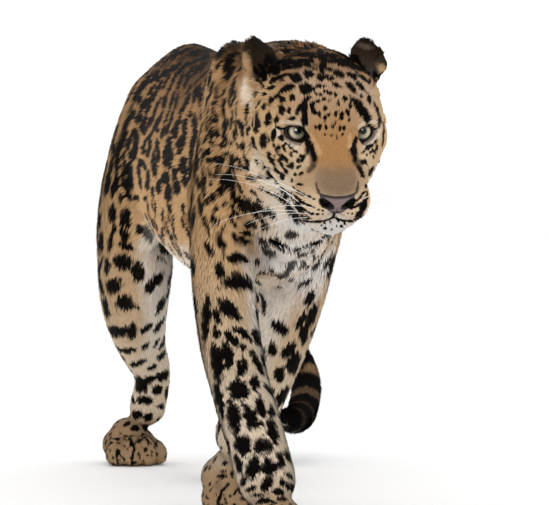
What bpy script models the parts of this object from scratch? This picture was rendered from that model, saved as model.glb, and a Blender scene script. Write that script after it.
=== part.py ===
"""A walking leopard at life size, as a still model parted where a person would name its parts.

Metres, +Z up. The leopard faces -Y, its left side is +X, and its paws stand on Z = 0.
"""

import math

import bmesh
import bpy
from mathutils import Matrix, Vector
from mathutils.bvhtree import BVHTree

RIGHT, LEFT = -1, 1
SIDE_NAMES = {RIGHT: "right", LEFT: "left"}

# Gap between parts, and the density of the skins
GAP = 0.0003
BODY_VOXEL = 0.0065
FORM_VOXEL = 0.0040
BODY_SMOOTHING = 18
FORM_SMOOTHING = 6
JOINT_SMOOTHING = 25
BODY_TRIANGLES = 3400
FINE_TRIANGLES = 5000

# Trunk and neck: distance behind the shoulders, sideways shift, top, bottom, half width, and how pear-shaped
TRUNK = [
    (-0.240, -0.002, 0.590, 0.450, 0.062, 0.0),
    (-0.195, -0.001, 0.609, 0.420, 0.077, 0.0),
    (-0.140, 0.000, 0.618, 0.383, 0.084, 0.0),
    (-0.085, 0.000, 0.621, 0.346, 0.086, 0.0),
    (-0.030, 0.000, 0.619, 0.314, 0.087, 0.05),
    (0.040, 0.000, 0.612, 0.296, 0.090, 0.10),
    (0.120, 0.000, 0.600, 0.290, 0.094, 0.12),
    (0.220, 0.000, 0.598, 0.290, 0.098, 0.15),
    (0.330, 0.000, 0.602, 0.298, 0.096, 0.20),
    (0.430, 0.000, 0.612, 0.312, 0.089, 0.28),
    (0.520, 0.000, 0.624, 0.332, 0.082, 0.36),
    (0.600, 0.000, 0.630, 0.364, 0.082, 0.42),
    (0.680, 0.000, 0.620, 0.408, 0.078, 0.38),
    (0.745, 0.000, 0.600, 0.452, 0.060, 0.20),
    (0.795, 0.000, 0.578, 0.494, 0.038, 0.0),
]

# Leg girths from the top down, half width and half depth, the same on both sides
FORE_GIRTHS = [
    (0.028, 0.048),
    (0.040, 0.080),
    (0.043, 0.080),
    (0.041, 0.061),
    (0.040, 0.050),
    (0.038, 0.042),
    (0.038, 0.039),
    (0.038, 0.037),
]
HIND_GIRTHS = [
    (0.028, 0.058),
    (0.039, 0.094),
    (0.048, 0.106),
    (0.054, 0.096),
    (0.056, 0.076),
    (0.052, 0.059),
    (0.044, 0.046),
    (0.036, 0.038),
    (0.0295, 0.032),
    (0.0290, 0.029),
    (0.031, 0.030),
]

# Leg lines: blade, shoulder, upper arm, elbow, forearm, its middle, wrist and pastern,
# or hip, rump, thigh, knee, shin, its middle, heel tendon, hock, cannon, its middle and pastern
LEG_LINES = {
    "fore_right": [
        (-0.042, 0.040, 0.560),
        (-0.060, -0.005, 0.490),
        (-0.072, -0.038, 0.405),
        (-0.080, -0.062, 0.330),
        (-0.081, -0.106, 0.250),
        (-0.078, -0.162, 0.186),
        (-0.072, -0.224, 0.128),
        (-0.066, -0.272, 0.072),
    ],
    "fore_left": [
        (0.044, 0.050, 0.556),
        (0.052, 0.020, 0.480),
        (0.046, 0.000, 0.400),
        (0.039, 0.018, 0.330),
        (0.031, 0.050, 0.268),
        (0.018, 0.090, 0.204),
        (0.003, 0.130, 0.147),
        (-0.014, 0.160, 0.090),
    ],
    "hind_right": [
        (-0.034, 0.680, 0.562),
        (-0.047, 0.684, 0.500),
        (-0.060, 0.670, 0.430),
        (-0.066, 0.652, 0.370),
        (-0.064, 0.656, 0.312),
        (-0.059, 0.692, 0.258),
        (-0.047, 0.736, 0.212),
        (-0.030, 0.778, 0.174),
        (-0.011, 0.808, 0.138),
        (-0.011, 0.826, 0.106),
        (-0.016, 0.840, 0.076),
    ],
    "hind_left": [
        (0.034, 0.660, 0.562),
        (0.048, 0.645, 0.500),
        (0.060, 0.612, 0.430),
        (0.068, 0.578, 0.375),
        (0.074, 0.556, 0.322),
        (0.077, 0.570, 0.272),
        (0.077, 0.594, 0.228),
        (0.076, 0.616, 0.188),
        (0.074, 0.610, 0.146),
        (0.074, 0.592, 0.108),
        (0.075, 0.576, 0.076),
    ],
}

# Muscles that round the body out: centre, half sizes, and the tip forward in degrees
MUSCLES = {
    "blade_right": ((-0.048, 0.035, 0.532), (0.036, 0.066, 0.088), 14.0),
    "blade_left": ((0.056, 0.050, 0.514), (0.036, 0.066, 0.088), 10.0),
    "triceps_right": ((-0.078, 0.010, 0.410), (0.034, 0.062, 0.080), 20.0),
    "triceps_left": ((0.053, 0.050, 0.400), (0.034, 0.060, 0.080), -8.0),
    "breast": ((-0.004, -0.075, 0.392), (0.062, 0.056, 0.080), 25.0),
    "rump_right": ((-0.030, 0.655, 0.540), (0.034, 0.085, 0.052), 0.0),
    "rump_left": ((0.030, 0.645, 0.540), (0.034, 0.085, 0.052), 0.0),
    "ham_right": ((-0.048, 0.712, 0.445), (0.034, 0.048, 0.100), -20.0),
    "ham_left": ((0.050, 0.690, 0.440), (0.034, 0.050, 0.100), -24.0),
    "flank_right": ((-0.066, 0.580, 0.372), (0.022, 0.060, 0.052), 10.0),
    "flank_left": ((0.066, 0.520, 0.362), (0.022, 0.056, 0.050), -10.0),
}

# Tail: centre and radius, from the root to the tip
TAIL = [
    (0.000, 0.765, 0.562, 0.037),
    (0.005, 0.828, 0.520, 0.031),
    (0.030, 0.892, 0.450, 0.027),
    (0.080, 0.945, 0.360, 0.024),
    (0.150, 0.968, 0.268, 0.024),
    (0.215, 0.955, 0.190, 0.025),
    (0.244, 0.910, 0.125, 0.026),
    (0.231, 0.855, 0.082, 0.026),
    (0.206, 0.800, 0.066, 0.025),
    (0.176, 0.752, 0.072, 0.020),
]

# Paws: centre on the floor, the way the toes point (degrees from -Y), size, and the heel's lift in degrees
PAWS = {
    "fore_right": ((-0.060, -0.303), 2.0, 1.00, 0.0),
    "fore_left": ((-0.021, 0.172), 4.0, 0.98, 26.0),
    "hind_right": ((-0.037, 0.842), 8.0, 1.00, 0.0),
    "hind_left": ((0.076, 0.552), -4.0, 0.96, 0.0),
}
TOE_RADII = (0.0148, 0.0290)
TOE_HEIGHTS = (0.0205, 0.0245, 0.0245, 0.0205)
TOE_SPREAD = (-0.0320, -0.0110, 0.0110, 0.0320)
TOE_FORWARD = (0.016, 0.031, 0.031, 0.016)
TOE_TIP_RADIUS = 0.0155
PALM_RADII = (0.041, 0.046, 0.031)
BACK_OF_PAW_RADII = (0.029, 0.041, 0.027)

# Head: the point midway between the eyeballs, and how the head is turned and tipped
EYES_MIDDLE = Vector((0.0010, -0.295, 0.4975))
HEAD_YAW = math.radians(-3.5)
HEAD_PITCH = math.radians(30.0)

# Head, back to front in its own frame: forward of the eyes, top, bottom, where it is widest, half width,
# and how square the upper and lower halves are, 2 being round
HEAD = [
    (-0.140, 0.026, -0.060, -0.015, 0.055, 2.0, 2.0),
    (-0.110, 0.052, -0.085, -0.018, 0.073, 2.0, 2.0),
    (-0.080, 0.069, -0.096, -0.022, 0.0815, 2.1, 2.0),
    (-0.050, 0.075, -0.100, -0.024, 0.083, 2.2, 1.9),
    (-0.022, 0.069, -0.101, -0.022, 0.079, 2.2, 1.9),
    (0.002, 0.055, -0.102, -0.022, 0.069, 2.2, 1.9),
    (0.022, 0.036, -0.103, -0.028, 0.056, 2.4, 2.0),
    (0.042, 0.016, -0.101, -0.040, 0.048, 2.6, 2.2),
    (0.062, 0.001, -0.097, -0.045, 0.046, 2.6, 2.3),
    (0.080, -0.011, -0.090, -0.046, 0.042, 2.6, 2.3),
    (0.092, -0.022, -0.079, -0.046, 0.036, 2.6, 2.3),
]

# The raised plane from the forehead down the nose: forward, top, half width, thickness
BRIDGE = [
    (-0.020, 0.068, 0.024, 0.020),
    (0.006, 0.056, 0.0235, 0.024),
    (0.026, 0.036, 0.0235, 0.026),
    (0.048, 0.017, 0.0235, 0.026),
    (0.072, 0.000, 0.0230, 0.026),
    (0.092, -0.014, 0.0215, 0.024),
]

# Smaller head forms: sideways, forward, up, then the half sizes and the tip down in degrees
MID_FORMS = {
    "nose_block": ((0.0, 0.088, -0.033), (0.0235, 0.017, 0.020), 0.0),
    "chin": ((0.0, 0.066, -0.080), (0.028, 0.023, 0.0185), 0.0),
}
SIDE_FORMS = {
    "brow": ((0.035, 0.006, 0.024), (0.021, 0.014, 0.010), 18.0),
    "cheek": ((0.060, -0.040, -0.024), (0.025, 0.036, 0.030), 0.0),
    "ruff": ((0.058, -0.078, -0.044), (0.028, 0.040, 0.046), 0.0),
    "whisker_pad": ((0.0225, 0.072, -0.048), (0.0265, 0.0310, 0.0260), 0.0),
}

# Hollows pressed into the skin of the head: place, reach, and the push in the head's frame
PRESSES = {
    "eye_socket": ((0.042, 0.022, 0.003), 0.0180, (0.0, -0.0145, 0.0)),
    "tear_hollow": ((0.032, 0.034, 0.000), 0.0120, (0.001, -0.0060, -0.0020)),
    "cheek_hollow": ((0.052, 0.030, -0.030), 0.0180, (-0.003, -0.001, 0.0)),
}

# Eyes: the balls, their lids, and the slit between the lids with its slant and outward turn in degrees
EYE_SPACING = 0.079
EYE_RADIUS = 0.0165
EYE_SUNK = 0.0010
EYE_SEGMENTS = 20
LID_THICKNESS = 0.0023
SLIT_OUT = 0.0018
SLIT_HALF_WIDTH = 0.0128
SLIT_UPPER = 0.0072
SLIT_LOWER = 0.0086
SLIT_SLANT = 17.0
EYE_TURN = 4.0
EYE_TIP = -24.0

# Nose leather seen from the front, one side from the top down: sideways, up
NOSE_OUTLINE = [(0.0215, -0.0245), (0.0205, -0.0325), (0.0120, -0.0430), (0.0035, -0.0510)]
NOSE_BACK = 0.088
NOSTRIL = ((0.0130, 0.1035, -0.0345), (0.0078, 0.0075, 0.0036), 32.0)

# The line of the mouth on one side, from under the nose to the corner: sideways, forward, up
MOUTH = [
    (0.000, 0.104, -0.0600),
    (0.010, 0.102, -0.0630),
    (0.022, 0.094, -0.0680),
    (0.034, 0.080, -0.0700),
    (0.042, 0.062, -0.0670),
    (0.047, 0.044, -0.0600),
]
PHILTRUM = [(0.0, 0.106, -0.0490), (0.0, 0.104, -0.0600)]
GROOVE_RADIUS = 0.0021
GROOVE_SUNK = 0.0004

# Ears: root in the head, height, widest half width, thickness, and how they lean and turn out in degrees
EAR_ROOT = (0.054, -0.079, 0.029)
EAR_HEIGHT = {RIGHT: 0.056, LEFT: 0.052}
EAR_HALF_WIDTH = 0.0240
EAR_THICKNESS = 0.0055
EAR_LEAN_OUT = {RIGHT: 36.0, LEFT: 20.0}
EAR_LEAN_BACK = -18.0
EAR_TURN_OUT = {RIGHT: 130.0, LEFT: 142.0}
EAR_CURL = 68.0
EAR_ROWS = 8
EAR_COLUMNS = 10
# The ear's outline: how high it is widest, how narrow its root and tip are, and how round the tip is
EAR_WIDEST = 0.45
EAR_ROOT_WIDTH = 0.84
EAR_TIP_WIDTH = 0.76
EAR_TIP_DROP = 0.34
EAR_TIP_POWER = 2.2
EAR_CUP_MIDDLE = 0.6

# Where forms meet and are smoothed over: place and reach
BODY_SOFT = [
    ((-0.050, 0.035, 0.580), 0.075),
    ((0.056, 0.050, 0.570), 0.075),
    ((-0.040, 0.650, 0.575), 0.090),
    ((0.040, 0.640, 0.575), 0.090),
    ((-0.060, 0.010, 0.340), 0.070),
    ((0.045, 0.020, 0.340), 0.070),
    ((-0.060, 0.730, 0.380), 0.070),
    ((0.060, 0.690, 0.380), 0.070),
    ((-0.080, 0.580, 0.350), 0.070),
    ((0.080, 0.510, 0.350), 0.070),
    ((0.000, 0.775, 0.570), 0.060),
]

NAPE = (0.0, -0.125, 0.0)
NAPE_REACH = 0.085
PASTERN_REACH = 0.036

# The fine stretches of the skin: the head, and what is under a paw's height on this side of the tail
HEAD_REACH = 0.155
PAW_TOP = 0.085
TAIL_SIDE = 0.13

# Where the body is parted: places along the legs' and tail's lines, counted in their rows, the drums that
# part the upper legs off with their tip and roll in degrees, and the boxes of head and neck with their tip
PAW_CUTS = {"fore": 6.5, "hind": 9.4}
KNEE_CUTS = {"fore": 3.8, "hind": 4.3}
CUT_HALF_SIZES = {"fore": (0.055, 0.085), "hind": (0.066, 0.110)}
UPPER_LEGS = {
    "fore_right": ((-0.110, -0.030, 0.402), (0.070, 0.100, 0.185), -18.0, -6.0),
    "fore_left": ((0.090, 0.022, 0.402), (0.070, 0.096, 0.182), 0.0, 9.0),
    "hind_right": ((-0.098, 0.668, 0.425), (0.072, 0.124, 0.200), -6.0, -9.0),
    "hind_left": ((0.100, 0.618, 0.425), (0.072, 0.124, 0.200), -16.0, 9.0),
}
TAIL_CUTS = (0.7, 1.8, 3.2, 4.8, 6.4)
HEAD_CUT = ((0.0, -0.320, 0.480), (0.15, 0.120, 0.200), 0.0)
NECK_CUT = ((0.0, -0.166, 0.517), (0.15, 0.090, 0.200), -17.6)
FLOOR_DEPTH = 0.05
DRUM_SEGMENTS = 32

# Looks of the sub-parts: colour and roughness
FINISHES = {
    "coat": ((0.55, 0.33, 0.14), 0.85),
    "pale_coat": ((0.68, 0.58, 0.45), 0.85),
    "dark_coat": ((0.05, 0.035, 0.03), 0.85),
    "nose_leather": ((0.28, 0.17, 0.15), 0.55),
    "eye": ((0.45, 0.46, 0.33), 0.10),
}


def clear_scene():
    for old in list(bpy.data.objects):
        bpy.data.objects.remove(old)


def collection(name):
    made = bpy.data.collections.new(name)
    bpy.context.scene.collection.children.link(made)
    return made


def finish(name, colour, roughness):
    """A plain Principled material for one sub-part."""
    material = bpy.data.materials.new(name)
    material.use_nodes = True
    shader = material.node_tree.nodes["Principled BSDF"]
    shader.inputs["Base Color"].default_value = (*colour, 1.0)
    shader.inputs["Roughness"].default_value = roughness
    shader.inputs["Metallic"].default_value = 0.0
    return material


def object_from(bm, name):
    mesh = bpy.data.meshes.new(name)
    bm.to_mesh(mesh)
    bm.free()
    made = bpy.data.objects.new(name, mesh)
    leopard.objects.link(made)
    return made


def apply_modifiers(target):
    graph = bpy.context.evaluated_depsgraph_get()
    mesh = bpy.data.meshes.new_from_object(target.evaluated_get(graph))
    target.modifiers.clear()
    target.data = mesh


def spline(rows, steps):
    """Rows on a smooth curve through the given rows of numbers, Catmull-Rom."""
    out = []
    last = len(rows) - 1
    for i in range(last):
        for step in range(steps):
            t = step / steps
            row = []
            for a, b, c, d in zip(rows[max(i - 1, 0)], rows[i], rows[i + 1], rows[min(i + 2, last)]):
                bend = (2 * a - 5 * b + 4 * c - d) * t**2 + (3 * b - a - 3 * c + d) * t**3
                row.append(0.5 * (2 * b + (c - a) * t + bend))
            out.append(row)
    out.append(list(rows[last]))
    return out


def skinned(name, rings):
    """A closed tube through rings of points, with flat caps."""
    bm = bmesh.new()
    loops = [[bm.verts.new(point) for point in ring] for ring in rings]
    sides = len(loops[0])
    for a, b in zip(loops, loops[1:]):
        for k in range(sides):
            bm.faces.new((a[k], a[(k + 1) % sides], b[(k + 1) % sides], b[k]))
    bm.faces.new(loops[0])
    bm.faces.new(loops[-1])
    bmesh.ops.recalc_face_normals(bm, faces=bm.faces)
    return object_from(bm, name)


def limb(name, rows, sides=20, steps=3):
    """A tube through rows of centre, half width, half depth and pear shape, with domed ends."""
    rows = spline(rows, steps)
    last = len(rows) - 1
    rings = []
    for i, (x, y, z, half_width, half_depth, pear) in enumerate(rows):
        along = (Vector(rows[min(i + 1, last)][:3]) - Vector(rows[max(i - 1, 0)][:3])).normalized()
        side = (Vector((1, 0, 0)) - along * along.x).normalized()
        rear = side.cross(along)
        dome = 0.6 * min(half_width, half_depth)
        ends = {0: (-0.95, -0.7, 0.0), last: (0.0, 0.7, 0.95)}.get(i, (0.0,))
        for end in ends:
            scale = math.sqrt(1 - end * end)
            centre = Vector((x, y, z)) + along * dome * end
            ring = []
            for k in range(sides):
                a = 2 * math.pi * k / sides
                wide = math.cos(a) * half_width * (1 - pear * math.sin(a))
                ring.append(centre + (side * wide + rear * math.sin(a) * half_depth) * scale)
            rings.append(ring)
    return skinned(name, rings)


def ball(name, radii, place, segments=24):
    """An ellipsoid of these half sizes, moved by a matrix."""
    bm = bmesh.new()
    bmesh.ops.create_uvsphere(bm, u_segments=segments, v_segments=segments // 2, radius=1.0)
    bmesh.ops.transform(bm, matrix=place @ Matrix.Diagonal((*radii, 1.0)), verts=bm.verts)
    return object_from(bm, name)


def box(name, half_sizes, place):
    bm = bmesh.new()
    bmesh.ops.create_cube(bm, size=2.0)
    bmesh.ops.transform(bm, matrix=place @ Matrix.Diagonal((*half_sizes, 1.0)), verts=bm.verts)
    return object_from(bm, name)


def wire(name, points, radius):
    """A round tube through points, as a closed mesh."""
    line = bpy.data.curves.new(name, "CURVE")
    line.dimensions = "3D"
    line.bevel_depth = radius
    line.bevel_resolution = 2
    line.use_fill_caps = True
    path = line.splines.new("POLY")
    path.points.add(len(points) - 1)
    for point, place in zip(path.points, points):
        point.co = (*place, 1.0)
    curve = bpy.data.objects.new(name, line)
    leopard.objects.link(curve)
    mesh = bpy.data.meshes.new_from_object(curve.evaluated_get(bpy.context.evaluated_depsgraph_get()))
    bpy.data.objects.remove(curve)
    bm = bmesh.new()
    bm.from_mesh(mesh)
    bmesh.ops.remove_doubles(bm, verts=bm.verts, dist=0.00001)
    bmesh.ops.recalc_face_normals(bm, faces=bm.faces)
    return object_from(bm, name)


def prism(name, outline, back, front, place):
    """A flat outline of (sideways, up) points, given depth from back to front along -Y."""
    rings = [[place @ Vector((x, -forward, z)) for x, z in outline] for forward in (back, front)]
    return skinned(name, rings)


def turned(tip_degrees, turn_degrees=0.0):
    turn = Matrix.Rotation(math.radians(turn_degrees), 4, "Z")
    return turn @ Matrix.Rotation(math.radians(tip_degrees), 4, "X")


def at(x, y, z):
    return Matrix.Translation((x, y, z))


def head_frame():
    turn = Matrix.Rotation(HEAD_YAW, 4, "Z") @ Matrix.Rotation(HEAD_PITCH, 4, "X")
    return Matrix.Translation(EYES_MIDDLE) @ turn


def in_head(sideways, forward, up):
    return head_frame() @ at(sideways, -forward, up)


def joined(name, pieces):
    """The pieces as one object, not yet fused."""
    bm = bmesh.new()
    for piece in pieces:
        bm.from_mesh(piece.data)
        bpy.data.objects.remove(piece)
    return object_from(bm, name)


def blended(name, pieces, voxel, smoothing):
    """One closed skin round overlapping pieces: voxel remeshed and smoothed."""
    whole = joined(name, pieces)
    remesh = whole.modifiers.new("Remesh", "REMESH")
    remesh.mode = "VOXEL"
    remesh.voxel_size = voxel
    smooth = whole.modifiers.new("Smooth", "SMOOTH")
    smooth.factor = 0.5
    smooth.iterations = smoothing
    apply_modifiers(whole)
    return whole


def weighted(body, name, weight_at):
    """A vertex group whose weights come from a function of place."""
    group = body.vertex_groups.new(name=name)
    for vertex in body.data.vertices:
        group.add([vertex.index], weight_at(vertex.co), "REPLACE")
    return group.name


def softened(body, places):
    """Smooths the skin round some places, where two forms meet."""

    def near(co):
        return max(math.exp(-((co - centre).length_squared) / reach**2) for centre, reach in places)

    smooth = body.modifiers.new("Soften", "SMOOTH")
    smooth.factor = 0.5
    smooth.iterations = JOINT_SMOOTHING
    smooth.vertex_group = weighted(body, "joints", near)
    apply_modifiers(body)
    body.vertex_groups.clear()


def thinned(body, is_fine):
    """Fewer triangles: the plain stretches first, then the head and paws, each to its own count."""
    for fine_turn in (False, True):
        triangulated(body)
        chosen = [is_fine(p.center) == fine_turn for p in body.data.polygons]
        goal = FINE_TRIANGLES if fine_turn else BODY_TRIANGLES
        kept = len(chosen) - sum(chosen)
        decimate = body.modifiers.new("Decimate", "DECIMATE")
        decimate.ratio = (kept + goal) / len(chosen)
        decimate.vertex_group = weighted(body, "thin", lambda co: float(is_fine(co) == fine_turn))
        apply_modifiers(body)
        body.vertex_groups.clear()


def triangulated(body):
    bm = bmesh.new()
    bm.from_mesh(body.data)
    bmesh.ops.triangulate(bm, faces=bm.faces)
    bm.to_mesh(body.data)
    bm.free()


def boolean(target, other, operation):
    """Joins, cuts or keeps the overlap of two solids, and removes the second."""
    modifier = target.modifiers.new(operation, "BOOLEAN")
    modifier.operation = operation
    modifier.object = other
    apply_modifiers(target)
    bpy.data.objects.remove(other)


def largest_only(body):
    """Keeps the largest closed surface of an object."""
    bm = bmesh.new()
    bm.from_mesh(body.data)
    left = set(bm.faces)
    islands = []
    while left:
        island = {left.pop()}
        edge_of_island = list(island)
        while edge_of_island:
            face = edge_of_island.pop()
            near = {other for edge in face.edges for other in edge.link_faces} & left
            left -= near
            island |= near
            edge_of_island += near
        islands.append(island)
    largest = max(islands, key=lambda faces: sum(face.calc_area() for face in faces))
    scraps = [face for island in islands if island is not largest for face in island]
    bmesh.ops.delete(bm, geom=scraps, context="FACES")
    bm.to_mesh(body.data)
    bm.free()


def part_off(body, name, region):
    """Parts a region off as its own object, leaving the gap beside it. The region takes a growth."""
    piece = bpy.data.objects.new(name, body.data.copy())
    leopard.objects.link(piece)
    boolean(piece, region(0.0), "INTERSECT")
    boolean(body, region(GAP), "DIFFERENCE")
    largest_only(piece)
    largest_only(body)
    return piece


def drum(name, half_sizes, place):
    """A flat-ended oval drum that lies across, its axis along X."""
    bm = bmesh.new()
    bmesh.ops.create_cone(bm, cap_ends=True, segments=DRUM_SEGMENTS, radius1=1.0, radius2=1.0, depth=2.0)
    across = Matrix.Rotation(math.radians(90), 4, "Y")
    bmesh.ops.transform(bm, matrix=place @ Matrix.Diagonal((*half_sizes, 1.0)) @ across, verts=bm.verts)
    return object_from(bm, name)


def drum_region(centre, half_sizes, tip, roll):
    place = at(*centre) @ Matrix.Rotation(math.radians(roll), 4, "Y") @ turned(tip)
    return lambda grow: drum("region", [s + grow for s in half_sizes], place)


def box_region(centre, half_sizes, tip=0.0, turn=0.0):
    place = at(*centre) @ turned(tip, turn)
    return lambda grow: box("region", [s + grow for s in half_sizes], place)


def paw_forms(name):
    """Four toes with their tips, the palm and the back of the paw."""
    (x, y), turn, size, lift = PAWS[name]
    place = at(x, y, 0) @ turned(0, turn) @ Matrix.Scale(size, 4)
    forms = []
    for across, forward, height in zip(TOE_SPREAD, TOE_FORWARD, TOE_HEIGHTS):
        spot = place @ at(across, -forward, height - 0.002) @ turned(16, across * 400)
        forms.append(ball(f"{name}_toe", (*TOE_RADII, height), spot))
        tip = place @ at(across * 1.05, -forward - 0.014, TOE_TIP_RADIUS - 0.001)
        forms.append(ball(f"{name}_toe_tip", (TOE_TIP_RADIUS * 0.88, TOE_TIP_RADIUS, TOE_TIP_RADIUS), tip))
    heel = place @ at(0, -0.020, 0.018) @ turned(lift)
    forms.append(ball(f"{name}_palm", PALM_RADII, heel @ at(0, 0.032, 0.010)))
    forms.append(ball(f"{name}_back", BACK_OF_PAW_RADII, heel @ at(0, 0.028, 0.022) @ turned(24)))
    return forms


def body_masses():
    """The big forms that blend softly: trunk, neck, legs, muscles and tail."""
    trunk = [
        (x, y, (top + bottom) / 2, half_width, (top - bottom) / 2, pear)
        for y, x, top, bottom, half_width, pear in TRUNK
    ]
    pieces = [limb("trunk", trunk, sides=28)]
    for name, line in LEG_LINES.items():
        girths = FORE_GIRTHS if name.startswith("fore") else HIND_GIRTHS
        pieces.append(limb(name, [(*place, *girth, 0.0) for place, girth in zip(line, girths)]))
    for name, (centre, radii, tip) in MUSCLES.items():
        pieces.append(ball(name, radii, at(*centre) @ turned(tip)))
    pieces.append(limb("tail", [(x, y, z, r, r, 0.0) for x, y, z, r in TAIL]))
    return pieces


def head_mass():
    """The head's main form, with an upper and a lower half of their own squareness."""
    rings = []
    for forward, top, bottom, widest, half_width, square_top, square_bottom in spline(HEAD, 3):
        ring = []
        for k in range(28):
            a = 2 * math.pi * (k + 0.5) / 28
            power = 2 / (square_top if math.sin(a) > 0 else square_bottom)
            reach = top - widest if math.sin(a) > 0 else widest - bottom
            x = math.copysign(abs(math.cos(a)) ** power, math.cos(a)) * half_width
            z = math.copysign(abs(math.sin(a)) ** power, math.sin(a)) * reach + widest
            ring.append(head_frame() @ Vector((x, -forward, z)))
        rings.append(ring)
    return skinned("head_mass", rings)


def bridge():
    """The flat-topped bar of the forehead and nose."""
    rings = []
    for forward, top, half_width, thickness in spline(BRIDGE, 3):
        ring = []
        for k in range(20):
            a = 2 * math.pi * (k + 0.5) / 20
            x = math.copysign(abs(math.cos(a)) ** 0.6, math.cos(a)) * half_width
            z = math.copysign(abs(math.sin(a)) ** 0.6, math.sin(a)) * thickness / 2
            ring.append(head_frame() @ Vector((x, -forward, top - thickness / 2 + z)))
        rings.append(ring)
    return skinned("bridge", rings)


def head_forms():
    pieces = [head_mass(), bridge()]
    for name, (place, radii, tip) in MID_FORMS.items():
        pieces.append(ball(name, radii, in_head(*place) @ turned(tip)))
    for name, ((x, forward, up), radii, tip) in SIDE_FORMS.items():
        for side in SIDE_NAMES:
            pieces.append(ball(name, radii, in_head(side * x, forward, up) @ turned(tip)))
    return pieces


def pressed(body):
    """Sinks the eye sockets and the hollows beside the nose, fading with distance."""
    for (x, forward, up), reach, (push_x, push_forward, push_up) in PRESSES.values():
        for side in SIDE_NAMES:
            centre = in_head(side * x, forward, up).translation
            push = head_frame().to_3x3() @ Vector((side * push_x, -push_forward, push_up))
            for vertex in body.data.vertices:
                fade = math.exp(-((vertex.co - centre).length_squared) / reach**2)
                if fade > 0.01:
                    vertex.co += push * fade


def eye_place(side):
    return in_head(side * EYE_SPACING / 2, -EYE_SUNK, 0.0) @ turned(EYE_TIP, side * EYE_TURN)


def slit(side):
    """The opening between the lids: two arcs that meet at the corners, the inner corner lower."""
    slant = Matrix.Rotation(math.radians(-side * SLIT_SLANT), 4, "Y")
    outline = []
    for height in (SLIT_UPPER, -SLIT_LOWER):
        for k in range(8):
            t = k / 8 if height > 0 else 1 - k / 8
            x = SLIT_HALF_WIDTH * (2 * t - 1)
            outline.append((x, height * math.sin(math.pi * t) ** 0.8))
    return prism("slit", outline, 0.0, 3 * EYE_RADIUS, eye_place(side) @ at(side * SLIT_OUT, 0, 0) @ slant)


def add_lids(body, side):
    """Swells the lids over the eyeball, opens them, and clears the ball."""
    lid_radius = EYE_RADIUS + LID_THICKNESS
    boolean(body, ball("lids", (lid_radius,) * 3, eye_place(side), EYE_SEGMENTS), "UNION")
    boolean(body, slit(side), "DIFFERENCE")
    clear = EYE_RADIUS + GAP
    boolean(body, ball("socket", (clear,) * 3, eye_place(side), EYE_SEGMENTS), "DIFFERENCE")


def on_skin(body_tree, places):
    """The given places of the head's frame moved onto the skin, then sunk a little."""
    points = []
    for place in spline(places, 3):
        spot, normal, _, _ = body_tree.find_nearest(in_head(*place).translation)
        points.append(spot - normal * GROOVE_SUNK)
    return points


def cut_mouth(body):
    """The line of the mouth between the lips, and the groove under the nose."""
    tree = BVHTree.FromObject(body, bpy.context.evaluated_depsgraph_get())
    half = MOUTH[1:]
    whole_line = [(-x, forward, up) for x, forward, up in reversed(half)] + MOUTH
    grooves = [on_skin(tree, whole_line), on_skin(tree, PHILTRUM)]
    for points in grooves:
        boolean(body, wire("groove", points, GROOVE_RADIUS), "DIFFERENCE")


def nose_region(grow):
    outline = [(x + grow, up) for x, up in NOSE_OUTLINE]
    outline[0] = (outline[0][0], outline[0][1] + grow)
    mirrored = [(-x, up) for x, up in reversed(outline)]
    return prism("region", mirrored + outline, NOSE_BACK - grow, NOSE_BACK + 0.05, head_frame())


def cut_nostrils(nose):
    (x, forward, up), radii, slant = NOSTRIL
    for side in SIDE_NAMES:
        roll = Matrix.Rotation(math.radians(-side * slant), 4, "Y")
        boolean(nose, ball("nostril", radii, in_head(side * x, forward, up) @ roll, 16), "DIFFERENCE")


def ear_frame(side):
    """The ear's own frame: +Z up the ear, +Y into its cup."""
    lean = Matrix.Rotation(math.radians(side * EAR_LEAN_OUT[side]), 4, "Y") @ turned(EAR_LEAN_BACK)
    return in_head(side * EAR_ROOT[0], EAR_ROOT[1], EAR_ROOT[2]) @ lean @ turned(0, side * EAR_TURN_OUT[side])


def ear(side, head):
    """A cupped ear, open to the outside, cut clear of the head it stands on."""
    frame = ear_frame(side)
    height = EAR_HEIGHT[side]
    curl = math.radians(EAR_CURL)
    bm = bmesh.new()
    rows = []
    for i in range(EAR_ROWS + 1):
        t = i / EAR_ROWS
        tip = max(0.0, (t - EAR_WIDEST) / (1 - EAR_WIDEST))
        opening = EAR_ROOT_WIDTH + (1 - EAR_ROOT_WIDTH) * min(1, t / EAR_WIDEST)
        half_width = EAR_HALF_WIDTH * (1 - (1 - EAR_TIP_WIDTH) * tip**3) * opening
        bend = half_width / math.sin(curl)
        row = []
        for k in range(EAR_COLUMNS + 1):
            across = 2 * k / EAR_COLUMNS - 1
            drop = EAR_TIP_DROP * height * abs(across) ** EAR_TIP_POWER * tip
            depth = (math.cos(curl * across) - EAR_CUP_MIDDLE) * bend
            spot = (math.sin(curl * across) * bend, depth, t * height - drop)
            row.append(bm.verts.new(frame @ Vector(spot)))
        rows.append(row)
    for lower, upper in zip(rows, rows[1:]):
        for k in range(EAR_COLUMNS):
            bm.faces.new((lower[k], lower[k + 1], upper[k + 1], upper[k]))
    made = object_from(bm, f"ear_{SIDE_NAMES[side]}")
    shell = made.modifiers.new("Shell", "SOLIDIFY")
    shell.thickness = EAR_THICKNESS
    shell.offset = 0.0
    apply_modifiers(made)
    triangulated(made)
    boolean(made, grown(head), "DIFFERENCE")
    largest_only(made)
    return made


def grown(body):
    """A copy of a solid, its skin moved out by the gap."""
    copy = bpy.data.objects.new("grown", body.data.copy())
    leopard.objects.link(copy)
    for vertex in copy.data.vertices:
        vertex.co = vertex.co + vertex.normal * GAP
    return copy


def in_fine_part(co):
    """True on the head and the paws."""
    if (co - in_head(0, -0.02, -0.01).translation).length < HEAD_REACH:
        return True
    return co.z < PAW_TOP and co.x < TAIL_SIDE


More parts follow.
